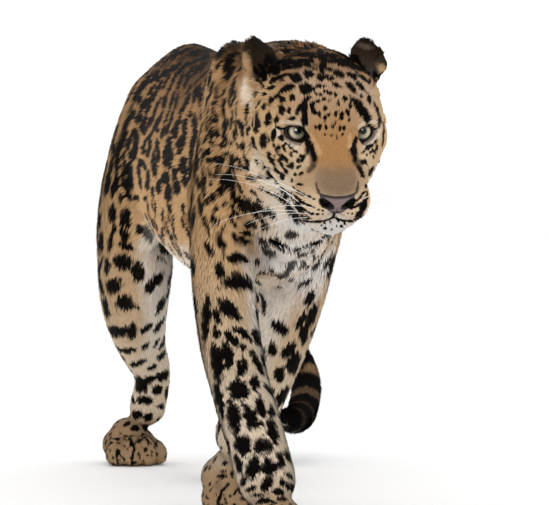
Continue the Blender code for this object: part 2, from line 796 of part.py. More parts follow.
def along_region(line, station, half_sizes, length):
    """A box that starts at a place on a line of points and runs on along it. Half stations are in between."""
    steps = 10
    path = [Vector(row[:3]) for row in spline([row[:3] for row in line], steps)]
    i = round(station * steps)
    along = (path[i + 1] - path[i - 1]).normalized()
    side = (Vector((1, 0, 0)) - along * along.x).normalized()
    turn = Matrix((side, along.cross(side), along)).transposed().to_4x4()
    place = Matrix.Translation(path[i] + along * length / 2) @ turn
    return lambda grow: box("region", [*(s + grow for s in half_sizes), length / 2 + grow], place)


def partings():
    """Every cut in the order it is made: the node's name and its region."""
    cuts = []
    for name, line in LEG_LINES.items():
        end = name.split("_")[0]
        paw_station, knee_station = PAW_CUTS[end], KNEE_CUTS[end]
        cuts.append((f"paw_{name}", along_region(line, paw_station, (0.070, 0.100), 0.16)))
        cuts.append((f"lower_leg_{name}", along_region(line, knee_station, CUT_HALF_SIZES[end], 0.42)))
    for name, (centre, half_sizes, tip, roll) in UPPER_LEGS.items():
        cuts.append((f"upper_leg_{name}", drum_region(centre, half_sizes, tip, roll)))
    for number, station in reversed(list(enumerate(TAIL_CUTS, start=1))):
        cuts.append((f"tail_{number}", along_region(TAIL, station, (0.055, 0.055), 0.18)))
    cuts.append(("head", box_region(*HEAD_CUT)))
    cuts.append(("neck", box_region(*NECK_CUT)))
    return cuts


def eyeball(side):
    return ball(f"eye_{SIDE_NAMES[side]}", (EYE_RADIUS,) * 3, eye_place(side), EYE_SEGMENTS)


def body_skin():
    """The whole animal as one skin, with fine head and paws and plain stretches between."""
    masses = blended("masses", body_masses(), BODY_VOXEL, BODY_SMOOTHING)
    softened(masses, [(Vector(place), reach) for place, reach in BODY_SOFT])
    forms = head_forms()
    for name in PAWS:
        forms += paw_forms(name)
    whole = blended("torso", [masses, *forms], FORM_VOXEL, FORM_SMOOTHING)
    soft = [(in_head(*NAPE).translation, NAPE_REACH)]
    soft += [(Vector((x, y + 0.020, PAW_TOP)), PASTERN_REACH) for (x, y), _, _, _ in PAWS.values()]
    softened(whole, soft)
    pressed(whole)
    thinned(whole, in_fine_part)
    return whole


def finish_of(name):
    """Which finish a node has, by its name."""
    starts = {"eye": "eye", "nose": "nose_leather", "ear": "dark_coat", "tail_5": "dark_coat"}
    for start, key in starts.items():
        if name.startswith(start):
            return key
    return "pale_coat" if name.startswith("paw") else "coat"


def settle(nodes):
    """Gives each node its finish and its own middle, and stands them all on the middle of the floor."""
    corners = [corner for node in nodes for corner in (node.matrix_world @ Vector(c) for c in node.bound_box)]
    low, high = (Vector(pick(c[i] for c in corners) for i in range(3)) for pick in (min, max))
    stand = bpy.data.objects.new("standing_point", None)
    leopard.objects.link(stand)
    stand.location = (-(low.x + high.x) / 2, -(low.y + high.y) / 2, -low.z)
    for node in nodes:
        middle = sum((Vector(c) for c in node.bound_box), Vector()) / 8
        node.data.transform(Matrix.Translation(-middle))
        node.location = middle
        node.parent = stand
        node.data.materials.clear()
        node.data.materials.append(finish(node.name, *FINISHES[finish_of(node.name)]))
        node.data.shade_smooth()
        node.data.set_sharp_from_angle(angle=math.radians(40))


clear_scene()
leopard = collection("leopard")

torso = body_skin()
for side in SIDE_NAMES:
    add_lids(torso, side)
cut_mouth(torso)
boolean(torso, box("floor", (0.5, 1.0, FLOOR_DEPTH), at(0, 0.3, -FLOOR_DEPTH)), "DIFFERENCE")
largest_only(torso)

nose = part_off(torso, "nose", nose_region)
cut_nostrils(nose)
nodes = [nose]
for side in SIDE_NAMES:
    nodes.append(ear(side, torso))
    nodes.append(eyeball(side))
for name, region in partings():
    nodes.append(part_off(torso, name, region))
nodes.append(torso)
bpy.context.view_layer.update()
settle(nodes)
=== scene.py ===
# %% [markdown]
# A life-size leopard in mid-stride, as a studio shot shows it. The solids of the body come from the
# imported model and stay where they are. This script dresses them: a skin, a coat of small tufts that
# follow the lie of the fur, eyes, lids, nose, whiskers, and the studio round them. The first cell
# loads the solids and keeps their box, which the whiskers are kept within.

# %% Load the solids
import bpy
import math
import numpy as np
from mathutils import Matrix, Vector
from mathutils.bvhtree import BVHTree
from mathutils.kdtree import KDTree


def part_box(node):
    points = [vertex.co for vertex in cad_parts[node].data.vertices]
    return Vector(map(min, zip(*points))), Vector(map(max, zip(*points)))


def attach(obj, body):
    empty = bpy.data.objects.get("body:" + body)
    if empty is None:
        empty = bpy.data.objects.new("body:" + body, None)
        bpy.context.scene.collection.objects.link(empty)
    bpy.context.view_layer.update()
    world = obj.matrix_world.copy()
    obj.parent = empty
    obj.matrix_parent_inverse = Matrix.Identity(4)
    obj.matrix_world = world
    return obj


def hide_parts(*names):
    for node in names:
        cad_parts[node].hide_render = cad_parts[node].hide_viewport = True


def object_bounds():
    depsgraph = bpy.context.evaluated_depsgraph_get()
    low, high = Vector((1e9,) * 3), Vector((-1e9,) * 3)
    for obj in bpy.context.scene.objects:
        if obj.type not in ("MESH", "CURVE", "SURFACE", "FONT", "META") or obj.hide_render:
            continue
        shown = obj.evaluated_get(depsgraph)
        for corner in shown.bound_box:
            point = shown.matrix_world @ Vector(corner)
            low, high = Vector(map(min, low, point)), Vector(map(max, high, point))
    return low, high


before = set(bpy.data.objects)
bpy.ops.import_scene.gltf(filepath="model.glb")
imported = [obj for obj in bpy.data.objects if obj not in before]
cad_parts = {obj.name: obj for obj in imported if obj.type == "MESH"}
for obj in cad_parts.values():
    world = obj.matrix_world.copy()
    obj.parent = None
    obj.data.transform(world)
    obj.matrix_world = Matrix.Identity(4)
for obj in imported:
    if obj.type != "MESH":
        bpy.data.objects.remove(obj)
SOLID_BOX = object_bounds()
print("solids:", len(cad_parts), "nodes, box", SOLID_BOX)

# %% [markdown]
# The camera stands in front of the animal, a little to its right, at half a metre above the floor,
# and looks along a long lens, so that the head and the body behind it keep their true sizes. The
# points in this script were first laid out from a spot between the front paws; WHERE moves them to
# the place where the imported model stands, which the two eyes tell.

# %% Place of the eyes and the camera
EYES_MIDDLE = Vector((0.0010, -0.295, 0.4975))
HEAD_YAW = math.radians(-3.5)
HEAD_PITCH = math.radians(30.0)
EYE_HALF_SPACING = 0.0395
EYE_SUNK = 0.0010
LENS = 236.07
SENSOR = 36.0
PHOTO_SIZE = (549, 505)
CAMERA_DISTANCE = 4.57
CAMERA_HEIGHT = 0.5
CAMERA_PITCH = math.radians(1.949)
CAMERA_YAW = math.radians(-12.216)

head_frame = (Matrix.Translation(EYES_MIDDLE) @ Matrix.Rotation(HEAD_YAW, 4, "Z")
              @ Matrix.Rotation(HEAD_PITCH, 4, "X"))


def box_middle(node):
    """The middle of a solid's box."""
    low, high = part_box(node)
    return (Vector(low) + Vector(high)) / 2


between_eyes = (box_middle("eye_right") + box_middle("eye_left")) / 2
WHERE = between_eyes - head_frame @ Vector((0, EYE_SUNK, 0))
head_frame = Matrix.Translation(WHERE) @ head_frame
print("the layout is moved by", [round(v, 4) for v in WHERE])

camera_data = bpy.data.cameras.new("camera")
camera_data.lens = LENS
camera_data.sensor_width = SENSOR
camera_data.clip_end = 100
camera = bpy.data.objects.new("camera", camera_data)
bpy.context.scene.collection.objects.link(camera)
camera.rotation_euler = (math.pi / 2 - CAMERA_PITCH, 0, CAMERA_YAW)
camera.location = WHERE + Vector((math.sin(CAMERA_YAW) * CAMERA_DISTANCE,
                                  -math.cos(CAMERA_YAW) * CAMERA_DISTANCE, CAMERA_HEIGHT))
bpy.context.scene.camera = camera
camera_matrix = (Matrix.Translation(camera.location) @ camera.rotation_euler.to_matrix().to_4x4())

# %% [markdown]
# A few steps come up again and again: a material and its nodes, a wire from one node to the next,
# and an operator that acts on one piece only. Each gets a helper of a few lines.

# %% Helpers for materials and pieces
def srgb(red, green, blue):
    """A colour given from 0 to 255, as the linear values that a shader takes."""
    out = []
    for value in (red, green, blue):
        value = value / 255
        out.append(value / 12.92 if value <= 0.04045 else ((value + 0.055) / 1.055) ** 2.4)
    return np.array(out)


def new_material(name, roughness):
    """A material, its nodes and its shader."""
    material = bpy.data.materials.new(name)
    material.use_nodes = True
    nodes = material.node_tree.nodes
    shader = nodes["Principled BSDF"]
    shader.inputs["Roughness"].default_value = roughness
    return material, nodes, shader


def add_node(nodes, kind, inputs=None, **settings):
    """A shader node with these settings, and these constants on its inputs."""
    node = nodes.new("ShaderNode" + kind)
    for name, value in settings.items():
        setattr(node, name, value)
    for name, value in (inputs or {}).items():
        node.inputs[name].default_value = value
    return node


def map_range(nodes, low, high, to_low, to_high):
    """A node that carries the range from low to high over to another range."""
    return add_node(nodes, "MapRange", {"From Min": low, "From Max": high, "To Min": to_low, "To Max": to_high})


def colour_ramp(nodes, stops):
    """A ramp node with these stops, each a position and a colour."""
    ramp = nodes.new("ShaderNodeValToRGB")
    while len(ramp.color_ramp.elements) < len(stops):
        ramp.color_ramp.elements.new(0.5)
    for element, (position, colour) in zip(ramp.color_ramp.elements, stops):
        element.position = position
        element.color = (*colour, 1)
    return ramp


def wire(source, output, target, socket):
    """Joins an output of one node to an input of another."""
    source.id_data.links.new(source.outputs[output], target.inputs[socket])


def select_only(*pieces):
    """Selects these pieces and nothing else, and makes the last one the active one."""
    bpy.ops.object.select_all(action="DESELECT")
    for piece in pieces:
        piece.select_set(True)
        bpy.context.view_layer.objects.active = piece


def on_whole_mesh(step, **values):
    """Runs a mesh operator on all of the active piece."""
    bpy.ops.object.mode_set(mode="EDIT")
    bpy.ops.mesh.select_all(action="SELECT")
    step(**values)
    bpy.ops.object.mode_set(mode="OBJECT")


print("white in the shader:", srgb(255, 255, 255))

# %% [markdown]
# The picture was taken in a white studio: light comes from all round, and a little more from above
# and from the left. A bright world does the first, area lights the second, and a plain floor catches
# the soft shadows under the paws. The floor is a stage, so it is not part of the animal.

# %% The studio
WORLD_LIGHT = 1.10
FLOOR_SIZE = 60.0
FLOOR_COLOUR = (0.90, 0.90, 0.90, 1.0)
FLOOR_GRAIN = (0.93, 0.93, 0.93, 1.0)
LIT_PLACE = Vector((0, 0, 0.35))
# The soft boxes: place, size and power
LIGHTS = {
    "key_box": ((-1.6, -4.6, 2.6), 0.9, 34.0),
    "fill_box": ((2.6, -3.4, 1.6), 2.2, 6.0),
    "top_box": ((0.0, 0.6, 3.2), 2.6, 14.0),
}

world = bpy.data.worlds.new("white_room")
world.use_nodes = True
world.node_tree.nodes["Background"].inputs["Color"].default_value = (1, 1, 1, 1)
world.node_tree.nodes["Background"].inputs["Strength"].default_value = WORLD_LIGHT
bpy.context.scene.world = world
bpy.context.scene.view_settings.view_transform = "Standard"

bpy.ops.object.select_all(action="DESELECT")
bpy.ops.mesh.primitive_plane_add(size=FLOOR_SIZE, location=(0, 0, 0))
floor = bpy.context.object
floor.name = "studio_floor"
material, nodes, shader = new_material("pale_floor", 0.9)
grain = add_node(nodes, "TexNoise", {"Scale": 3.0})
tone = add_node(nodes, "Mix", {"A": FLOOR_COLOUR, "B": FLOOR_GRAIN}, data_type="RGBA")
wire(grain, "Fac", tone, "Factor")
wire(tone, "Result", shader, "Base Color")
floor.data.materials.append(material)

for name, (place, size, power) in LIGHTS.items():
    light = bpy.data.lights.new(name, "AREA")
    light.size = size
    light.energy = power
    lamp = bpy.data.objects.new(name, light)
    bpy.context.scene.collection.objects.link(lamp)
    lamp.location = place
    lamp.rotation_euler = (LIT_PLACE - Vector(place)).to_track_quat("-Z", "Y").to_euler()
print("studio: floor and", len(LIGHTS), "soft boxes")

# %% [markdown]
# Under the coat the animal has one unbroken skin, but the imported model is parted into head, neck,
# trunk, legs and tail with hair-thin gaps. A skin can be made from copies of those solids: they are
# swelled by less than a millimetre so that the gaps close, joined, and remeshed with small cells,
# which turns the facets into a smooth form. The head needs cells half the size of the body's for
# its lids and lips, so it gets a skin of its own that runs on into the neck, inside the other one.

# %% Skins from copies of the solids
FLESH = [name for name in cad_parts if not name.startswith("eye_")]
HEAD_FLESH = ["head", "ear_right", "ear_left", "nose", "neck"]
BODY_FLESH = [name for name in FLESH if name not in ("head", "ear_right", "ear_left", "nose")]
MERGE_DISTANCE = 0.00001
GAP_CLOSER = 0.0004
HEAD_CELL = 0.00135
BODY_CELL = 0.0026
HEAD_SMOOTHING = 5
BODY_SMOOTHING = 14
NECK_END = Vector((0.0, -0.130, 0.50))
NECK_CUT = (0, 1, 0.3)


def apply_modifier(piece, kind, **values):
    """Adds a modifier with these values and applies it at once."""
    modifier = piece.modifiers.new(kind.lower(), kind)
    for key, value in values.items():
        setattr(modifier, key, value)
    bpy.context.view_layer.objects.active = piece
    bpy.ops.object.modifier_apply(modifier=modifier.name)


def merged_copy(node_names, name):
    """One object of the copies of these solids, with the loose triangles merged."""
    twins = [bpy.data.objects.new(node + "_copy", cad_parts[node].data.copy()) for node in node_names]
    for twin in twins:
        bpy.context.scene.collection.objects.link(twin)
    select_only(*twins)
    if len(twins) > 1:
        bpy.ops.object.join()
    piece = bpy.context.object
    piece.name = name
    piece.data.name = name
    on_whole_mesh(bpy.ops.mesh.remove_doubles, threshold=MERGE_DISTANCE)
    piece.data.materials.clear()
    return piece


def make_skin(node_names, name, cell, smoothing):
    """A smooth skin round these solids."""
    piece = merged_copy(node_names, name)
    apply_modifier(piece, "DISPLACE", strength=GAP_CLOSER, mid_level=0.0)
    apply_modifier(piece, "REMESH", mode="VOXEL", voxel_size=cell)
    apply_modifier(piece, "SMOOTH", factor=0.5, iterations=smoothing)
    return piece


skin_head = make_skin(HEAD_FLESH, "skin_head", HEAD_CELL, HEAD_SMOOTHING)
select_only(skin_head)
on_whole_mesh(bpy.ops.mesh.bisect, plane_co=WHERE + NECK_END, plane_no=NECK_CUT, use_fill=True, clear_outer=True)
skin_body = make_skin(BODY_FLESH, "skin_body", BODY_CELL, BODY_SMOOTHING)
print("skins:", len(skin_head.data.vertices), "and", len(skin_body.data.vertices), "points")

# %% [markdown]
# Everything about the coat, from the way it lies to its length and its colour, depends on the part
# of the body a point is on. Lines through the middle of the trunk, neck, legs and tail, each with
# its girth, tell that: a point belongs most to the line it is nearest to, counted in girths.

# %% Lines through the body
BODY_LINES = {
    "trunk": [(0, -0.040, 0.470, 0.100), (0, 0.120, 0.445, 0.118), (0, 0.330, 0.450, 0.118),
              (0, 0.520, 0.480, 0.112), (0, 0.680, 0.512, 0.085), (0, 0.790, 0.536, 0.040)],
    "neck": [(0, -0.060, 0.480, 0.110), (0, -0.150, 0.498, 0.095), (0, -0.225, 0.512, 0.085)],
    "fore_right": [(-0.060, -0.005, 0.490, 0.060), (-0.072, -0.038, 0.405, 0.062),
                   (-0.080, -0.062, 0.330, 0.052), (-0.081, -0.106, 0.250, 0.045),
                   (-0.078, -0.162, 0.186, 0.040), (-0.072, -0.224, 0.128, 0.038),
                   (-0.066, -0.272, 0.072, 0.038)],
    "fore_left": [(0.052, 0.020, 0.480, 0.060), (0.046, 0.000, 0.400, 0.062),
                  (0.039, 0.018, 0.330, 0.052), (0.031, 0.050, 0.268, 0.045),
                  (0.018, 0.090, 0.204, 0.040), (0.003, 0.130, 0.147, 0.038),
                  (-0.014, 0.160, 0.090, 0.038)],
    "hind_right": [(-0.047, 0.684, 0.500, 0.066), (-0.060, 0.670, 0.430, 0.075),
                   (-0.066, 0.652, 0.370, 0.066), (-0.064, 0.656, 0.312, 0.056),
                   (-0.059, 0.692, 0.258, 0.045), (-0.047, 0.736, 0.212, 0.037),
                   (-0.030, 0.778, 0.174, 0.031), (-0.011, 0.808, 0.138, 0.029),
                   (-0.016, 0.840, 0.076, 0.031)],
    "hind_left": [(0.048, 0.645, 0.500, 0.066), (0.060, 0.612, 0.430, 0.075),
                  (0.068, 0.578, 0.375, 0.066), (0.074, 0.556, 0.322, 0.056),
                  (0.077, 0.570, 0.272, 0.045), (0.077, 0.594, 0.228, 0.037),
                  (0.076, 0.616, 0.188, 0.031), (0.074, 0.610, 0.146, 0.029),
                  (0.075, 0.576, 0.076, 0.031)],
    "tail": [(0.000, 0.765, 0.562, 0.037), (0.005, 0.828, 0.520, 0.031), (0.030, 0.892, 0.450, 0.027),
             (0.080, 0.945, 0.360, 0.024), (0.150, 0.968, 0.268, 0.024), (0.215, 0.955, 0.190, 0.025),
             (0.244, 0.910, 0.125, 0.026), (0.231, 0.855, 0.082, 0.026), (0.206, 0.800, 0.066, 0.025),
             (0.176, 0.752, 0.072, 0.020)],
}
PAWS = {
    "fore_right": (-0.060, -0.303, 0.020),
    "fore_left": (-0.021, 0.172, 0.020),
    "hind_right": (-0.037, 0.842, 0.020),
    "hind_left": (0.076, 0.552, 0.020),
}
LEGS = tuple(PAWS)
TOES_AHEAD = 0.020
PAW_GIRTH = 0.042
for leg, (x, y, z) in PAWS.items():
    BODY_LINES[leg].append((x, y - TOES_AHEAD, z, PAW_GIRTH))
print("body lines:", ", ".join(BODY_LINES))

# %% [markdown]
# The head is no line but an egg, and it takes the ears with it. For each point, the shares of all
# parts add up to one, so that colours and lengths pass softly from one part into the next.

# %% The part that a point belongs to
HEAD_MIDDLE = Vector((0.0, -0.020, -0.030))
NOSE_TIP = Vector((0.0, 0.098, -0.035))
EAR_ROOTS = {"right": Vector((-0.054, -0.079, 0.029)), "left": Vector((0.054, -0.079, 0.029))}
HEAD_GIRTHS = [0.088, 0.130, 0.100]
LINE_POWER = 6
LEAST_DISTANCE = 0.3
EAR_MIDDLE_UP = 0.020
EAR_BELONGS = 6.0


def head_place(sideways, forward, up):
    """A place given in the head's own directions, in metres from the point between the eyes."""
    return head_frame @ Vector((sideways, -forward, up))


def head_coordinates(points):
    """Sideways, forward and up in the head's own directions."""
    inverse = np.array(head_frame.inverted())
    local = points @ inverse[:3, :3].T + inverse[:3, 3]
    return local[:, 0], -local[:, 1], local[:, 2]


def length_of(vectors):
    """The length of each row."""
    return np.linalg.norm(vectors, axis=1)


def unit(vectors):
    """Each row at length one."""
    return vectors / np.maximum(np.linalg.norm(vectors, axis=1, keepdims=True), 1e-9)


def flatten_onto(vectors, normals):
    """The part of each vector that lies along the skin, at length one."""
    return unit(vectors - normals * np.sum(vectors * normals, axis=1, keepdims=True))


def smooth_step(low, high, values):
    """Zero at low, one at high, and a soft rise between them. Low may be the larger one."""
    t = np.clip((values - low) / (high - low), 0, 1)
    return t * t * (3 - 2 * t)


def body_map(points):
    """How much each point belongs to each part, the way the part runs there, and how far along it is."""
    shares, ways, along = {}, {}, {}
    for part, rows in BODY_LINES.items():
        total = np.zeros(len(points))
        way = np.zeros((len(points), 3))
        best = np.full(len(points), 1e9)
        place = np.zeros(len(points))
        for index, (start, end) in enumerate(zip(rows, rows[1:])):
            a = np.array(start[:3]) + np.array(WHERE)
            step = np.array(end[:3]) + np.array(WHERE) - a
            t = np.clip((points - a) @ step / (step @ step), 0, 1)
            girth = start[3] + (end[3] - start[3]) * t
            distance = length_of(points - a - t[:, None] * step) / girth
            weight = 1 / np.maximum(distance, LEAST_DISTANCE) ** LINE_POWER
            total = np.maximum(total, weight)
            way += weight[:, None] * step / np.linalg.norm(step)
            nearer = distance < best
            best[nearer] = distance[nearer]
            place[nearer] = (index + t)[nearer]
        shares[part] = total
        ways[part] = unit(way)
        along[part] = place / (len(rows) - 1)
    on_head = np.stack(head_coordinates(points), 1)
    distance = length_of((on_head - np.array(HEAD_MIDDLE)) / HEAD_GIRTHS)
    shares["head"] = 1 / np.maximum(distance, LEAST_DISTANCE) ** LINE_POWER
    for root in EAR_ROOTS.values():
        near = length_of(on_head - np.array(root) - [0, 0, EAR_MIDDLE_UP])
        shares["head"] = np.maximum(shares["head"], EAR_BELONGS * smooth_step(0.05, 0.03, near))
    ways["head"] = unit(points - np.array(head_place(*NOSE_TIP)))
    whole = sum(shares.values())
    shares = {part: share / whole for part, share in shares.items()}
    return shares, ways, along


print("between the eyes:", [round(v, 4) for v in head_place(0, 0, 0)])

# %% [markdown]
# Fur doesn't stand up, it lies along the body: back from the nose over the head, back along the
# trunk, down the legs and to the end of the tail. Guide curves could be combed by hand, but the
# lines through the body already run that way, so the lie at a point is the mix of their directions,
# laid flat on the skin, with a slow swirl so that it isn't combed too evenly.

# %% The lie of the coat
TRUNK_WAY = np.array([0.0, 1.0, -0.35])
SWIRL = 0.16
SWIRL_SIZE = 38.0
WAVES = 5
WAVE_START = 6.283
WAVES_HEIGHT = 2.4
EAR_HAIR_STARTS_UP = -0.015
NECK_STEEPER = [1, 1, 2.2]
EAR_LIE_UP = 0.026
EAR_LIE_REACH = (0.050, 0.036)
EAR_LIE_FROM = (0.036, 0.046)


def waves(points, size, seed):
    """A slow, even noise between about -1 and 1, made of a few sine waves."""
    draw = np.random.default_rng(seed)
    total = np.zeros(len(points))
    for _ in range(WAVES):
        direction = draw.normal(size=3)
        direction *= size * draw.uniform(0.6, 1.6) / np.linalg.norm(direction)
        total += np.sin(points @ direction + draw.uniform(0, WAVE_START))
    return total / WAVES_HEIGHT


def lie_of_coat(points, normals, shares, ways):
    """The way in which the hair lies on the skin at each point."""
    ways = dict(ways)
    ways["trunk"] = np.tile(TRUNK_WAY / np.linalg.norm(TRUNK_WAY), (len(points), 1))
    ways["neck"] = ways["trunk"] * NECK_STEEPER
    flow = sum(shares[part][:, None] * ways[part] for part in shares)
    on_head = np.stack(head_coordinates(points), 1)
    for root in EAR_ROOTS.values():
        from_root = points - np.array(head_place(root.x, root.y, root.z + EAR_HAIR_STARTS_UP))
        near = smooth_step(*EAR_LIE_REACH, length_of(on_head - np.array(root) - [0, 0, EAR_LIE_UP]))
        near *= smooth_step(*EAR_LIE_FROM, on_head[:, 2])
        flow = flow * (1 - near[:, None]) + near[:, None] * unit(from_root)
    flow = flatten_onto(flow, normals)
    across = np.cross(normals, flow)
    turn = SWIRL * waves(points, SWIRL_SIZE, 3)
    return unit(flow * np.cos(turn)[:, None] + across * np.sin(turn)[:, None])


print("the hair swirls by about", round(math.degrees(SWIRL)), "degrees")

# %% [markdown]
# The coat is longest on the belly and breast and very short on the face, ears and feet. The solids
# reach to the outside of the coat, so the skin is moved in by about the height at which the tufts
# end. A displace modifier could do that with a vertex group; moving the points in code is the same.

# %% Length of the coat, and the skin under it
# Lengths of hair in metres: on the back and how much more underneath, the same on the neck, along the
# tail, down a leg by shares of it, and forwards over the head by metres
TRUNK_HAIR = (0.0120, 0.008)
NECK_HAIR = (0.0095, 0.003)
TAIL_HAIR = (0.0130, 0.003)
LEG_HAIR = ([0, 0.35, 0.6, 0.88, 1.0], [0.013, 0.012, 0.009, 0.0065, 0.0045])
FACE_HAIR = ([-0.14, -0.09, -0.05, 0.0, 0.04, 0.09], [0.013, 0.011, 0.0085, 0.0060, 0.0042, 0.0028])
JOWL_HAIR = 0.0030
HAIR_BEHIND_EARS = 0.008
EAR_HAIR = 0.0045
HEAD_SKIN_DIPS = (-0.165, -0.135)
BODY_SKIN_DIPS = (-0.160, -0.195)
DIP = 0.0040
NECK_STARTS_UP = 0.36
# How deep the skin lies under the outside of the coat: a share of the hair's length and a little more
SKIN_UNDER = (0.25, 0.0002)
SKIN_UNDER_RANGE = (0.0006, 0.0052)
SKIN_UNDER_EAR = 0.0004


def hair_length(points, normals, shares, along):
    """Length of a tuft in metres."""
    on_head = np.stack(head_coordinates(points), 1)
    _, forward, up = on_head.T
    length = np.zeros(len(points))
    down = smooth_step(0.25, 0.8, -normals[:, 2])
    for part, (least, more), share in (("trunk", TRUNK_HAIR, down), ("neck", NECK_HAIR, down),
                                       ("tail", TAIL_HAIR, along["tail"])):
        length += shares[part] * (least + more * share)
    for leg in LEGS:
        length += shares[leg] * np.interp(along[leg], *LEG_HAIR)
    face = np.interp(forward, *FACE_HAIR)
    jowl = smooth_step(-0.040, -0.075, up) * smooth_step(0.045, -0.005, forward)
    face = face + JOWL_HAIR * jowl
    for root in EAR_ROOTS.values():
        behind = on_head - np.array(root) - [math.copysign(0.022, root.x), -0.004, -0.016]
        face = face + HAIR_BEHIND_EARS * smooth_step(0.034, 0.012, length_of(behind))
    ear = smooth_step(0.036, 0.050, up) * smooth_step(-0.035, -0.055, forward)
    face = face * (1 - ear) + EAR_HAIR * ear
    length += shares["head"] * face
    return length


def coat_depth(points, normals, shares, along):
    """How far the skin is under the outside of the coat, in metres."""
    length = hair_length(points, normals, shares, along)
    _, forward, up = head_coordinates(points)
    ear = smooth_step(0.034, 0.046, up) * smooth_step(-0.035, -0.055, forward) * shares["head"]
    under = np.clip(SKIN_UNDER[0] * length + SKIN_UNDER[1], *SKIN_UNDER_RANGE)
    return under * (1 - ear) + SKIN_UNDER_EAR * ear


def points_of(piece):
    """The points of a piece, and the way that each one faces."""
    rows = []
    for name in ("co", "normal"):
        values = np.zeros(len(piece.data.vertices) * 3)
        piece.data.vertices.foreach_get(name, values)
        rows.append(values.reshape(-1, 3))
    return rows[0], unit(rows[1])


def set_points(piece, points):
    """Moves the points of a piece to these places."""
    piece.data.vertices.foreach_set("co", points.ravel())
    piece.data.update()


def sink(piece, dips):
    """Moves the skin in under the coat, and its end at the neck a little further, into the other skin."""
    points, normals = points_of(piece)
    shares, _, along = body_map(points)
    depth = coat_depth(points, normals, shares, along)
    _, forward, up = head_coordinates(points)
    near_ear = smooth_step(0.026, 0.036, up) * smooth_step(-0.035, -0.050, forward)
    neck_only = (points[:, 2] > WHERE.z + NECK_STARTS_UP) * (1 - near_ear)
    depth = depth + DIP * smooth_step(*dips, points[:, 1] - WHERE.y) * neck_only
    set_points(piece, points - normals * depth[:, None])


# Small corrections that the picture asks for: a place on the head, its reach, and the move, in metres
# sideways, forward and up
NUDGES = [
    ((-0.066, -0.085, 0.080), 0.040, (-0.010, 0.0, -0.003)),
    ((0.066, -0.085, 0.075), 0.042, (-0.009, 0.0, -0.004)),
    ((0.085, -0.030, 0.020), 0.050, (-0.005, 0.0, 0.0)),
    ((0.046, 0.058, -0.058), 0.029, (-0.010, 0.0, 0.0)),
    ((0.030, 0.060, -0.086), 0.022, (-0.005, 0.0, 0.0)),
]


def nudge(piece):
    """Moves the points near each place by its correction."""
    points, _ = points_of(piece)
    place = np.stack(head_coordinates(points), 1)
    for middle, reach, (x, y, z) in NUDGES:
        weight = np.exp(-np.sum((place - middle) ** 2, axis=1) / reach ** 2)
        points = points + weight[:, None] * np.array(head_frame.to_3x3() @ Vector((x, -y, z)))
    set_points(piece, points)


nudge(skin_head)
sink(skin_head, HEAD_SKIN_DIPS)
sink(skin_body, BODY_SKIN_DIPS)
for piece in (skin_head, skin_body):
    piece.data.polygons.foreach_set("use_smooth", np.ones(len(piece.data.polygons), bool))
print("skins are under the coat")

# %% [markdown]
# The ground colour of a leopard runs from a warm tan on the back, over a paler flank, to white on
# the belly, the throat and the insides of the legs. A flat colour would look like paint, so each
# point of the coat mixes its colours from the part it belongs to and the way its skin faces. The
# values were chosen, and then adjusted until the mean tones of some small windows matched those of
# the picture.

# %% Ground colours
COLOURS = {
    "back": srgb(148, 104, 62),
    "flank": srgb(206, 164, 116),
    "belly": srgb(244, 232, 216),
    "breast": srgb(250, 247, 243),
    "leg": srgb(216, 189, 156),
    "paw": srgb(184, 151, 115),
    "tail": srgb(176, 142, 104),
    "tail_under": srgb(226, 217, 205),
    "crown": srgb(140, 102, 66),
    "forehead": srgb(186, 146, 104),
    "bridge": srgb(180, 132, 82),
    "nose_top": srgb(142, 116, 90),
    "cheek": srgb(212, 177, 134),
    "eye_cream": srgb(226, 198, 162),
    "pad_top": srgb(186, 154, 118),
    "pad": srgb(236, 206, 170),
    "chin": srgb(226, 221, 214),
    "jowl": srgb(228, 208, 180),
    "ear": srgb(7, 5, 4),
    "ear_patch": srgb(104, 88, 76),
    "leg_low": srgb(246, 226, 202),
    "crest": srgb(22, 15, 11),
    "black": srgb(13, 9, 7),
    "brown": srgb(122, 80, 44),
    # Soft greyish: partly the soft edges of dark lines, partly painted shade beside the muzzle and painted contact
    # shadow under a paw
    "grey": srgb(52, 40, 32),
    "lid": srgb(120, 98, 92),
    "lip": srgb(34, 25, 23),
    "cream": srgb(238, 220, 194),
    "tan": srgb(214, 172, 126),
    "tail_end": srgb(64, 50, 40),
}
# Where the colours of the face sit: sideways (both sides alike), forward, up, reach, colour
FACE_ZONES = [
    (0.000, -0.060, 0.070, 0.045, "crown"),
    (0.000, 0.000, 0.060, 0.036, "forehead"),
    (0.030, 0.000, 0.045, 0.024, "forehead"),
    (0.000, 0.045, 0.026, 0.020, "bridge"),
    (0.000, 0.066, 0.008, 0.016, "bridge"),
    (0.000, 0.086, -0.010, 0.012, "nose_top"),
    (0.013, 0.088, -0.016, 0.011, "nose_top"),
    (0.030, 0.070, -0.032, 0.016, "pad_top"),
    (0.026, 0.085, -0.052, 0.018, "pad"),
    (0.000, 0.085, -0.088, 0.026, "chin"),
    (0.046, 0.040, -0.022, 0.016, "eye_cream"),
    (0.040, 0.006, 0.022, 0.010, "eye_cream"),
    (0.070, 0.000, -0.020, 0.030, "cheek"),
    (0.070, -0.050, 0.000, 0.034, "cheek"),
    (0.060, -0.045, -0.070, 0.034, "jowl"),
    (0.055, 0.010, -0.075, 0.026, "jowl"),
    (0.000, 0.010, -0.105, 0.045, "chin"),
]


def mix(first, second, share):
    """The first colour with this share of the second."""
    share = np.asarray(share)[:, None]
    return first * (1 - share) + second * share


print("colours:", len(COLOURS))

# %% [markdown]
# The ears are black behind, and each eye has a dark rim in a cream surround. To paint those, the
# script has to know how near a point is to an ear's own solid, and how far out from the slit between
# the lids it is.

# %% Ears and eyes on the skin
def tree_of(piece):
    """A search tree of the faces of a piece."""
    return BVHTree.FromObject(piece, bpy.context.evaluated_depsgraph_get())


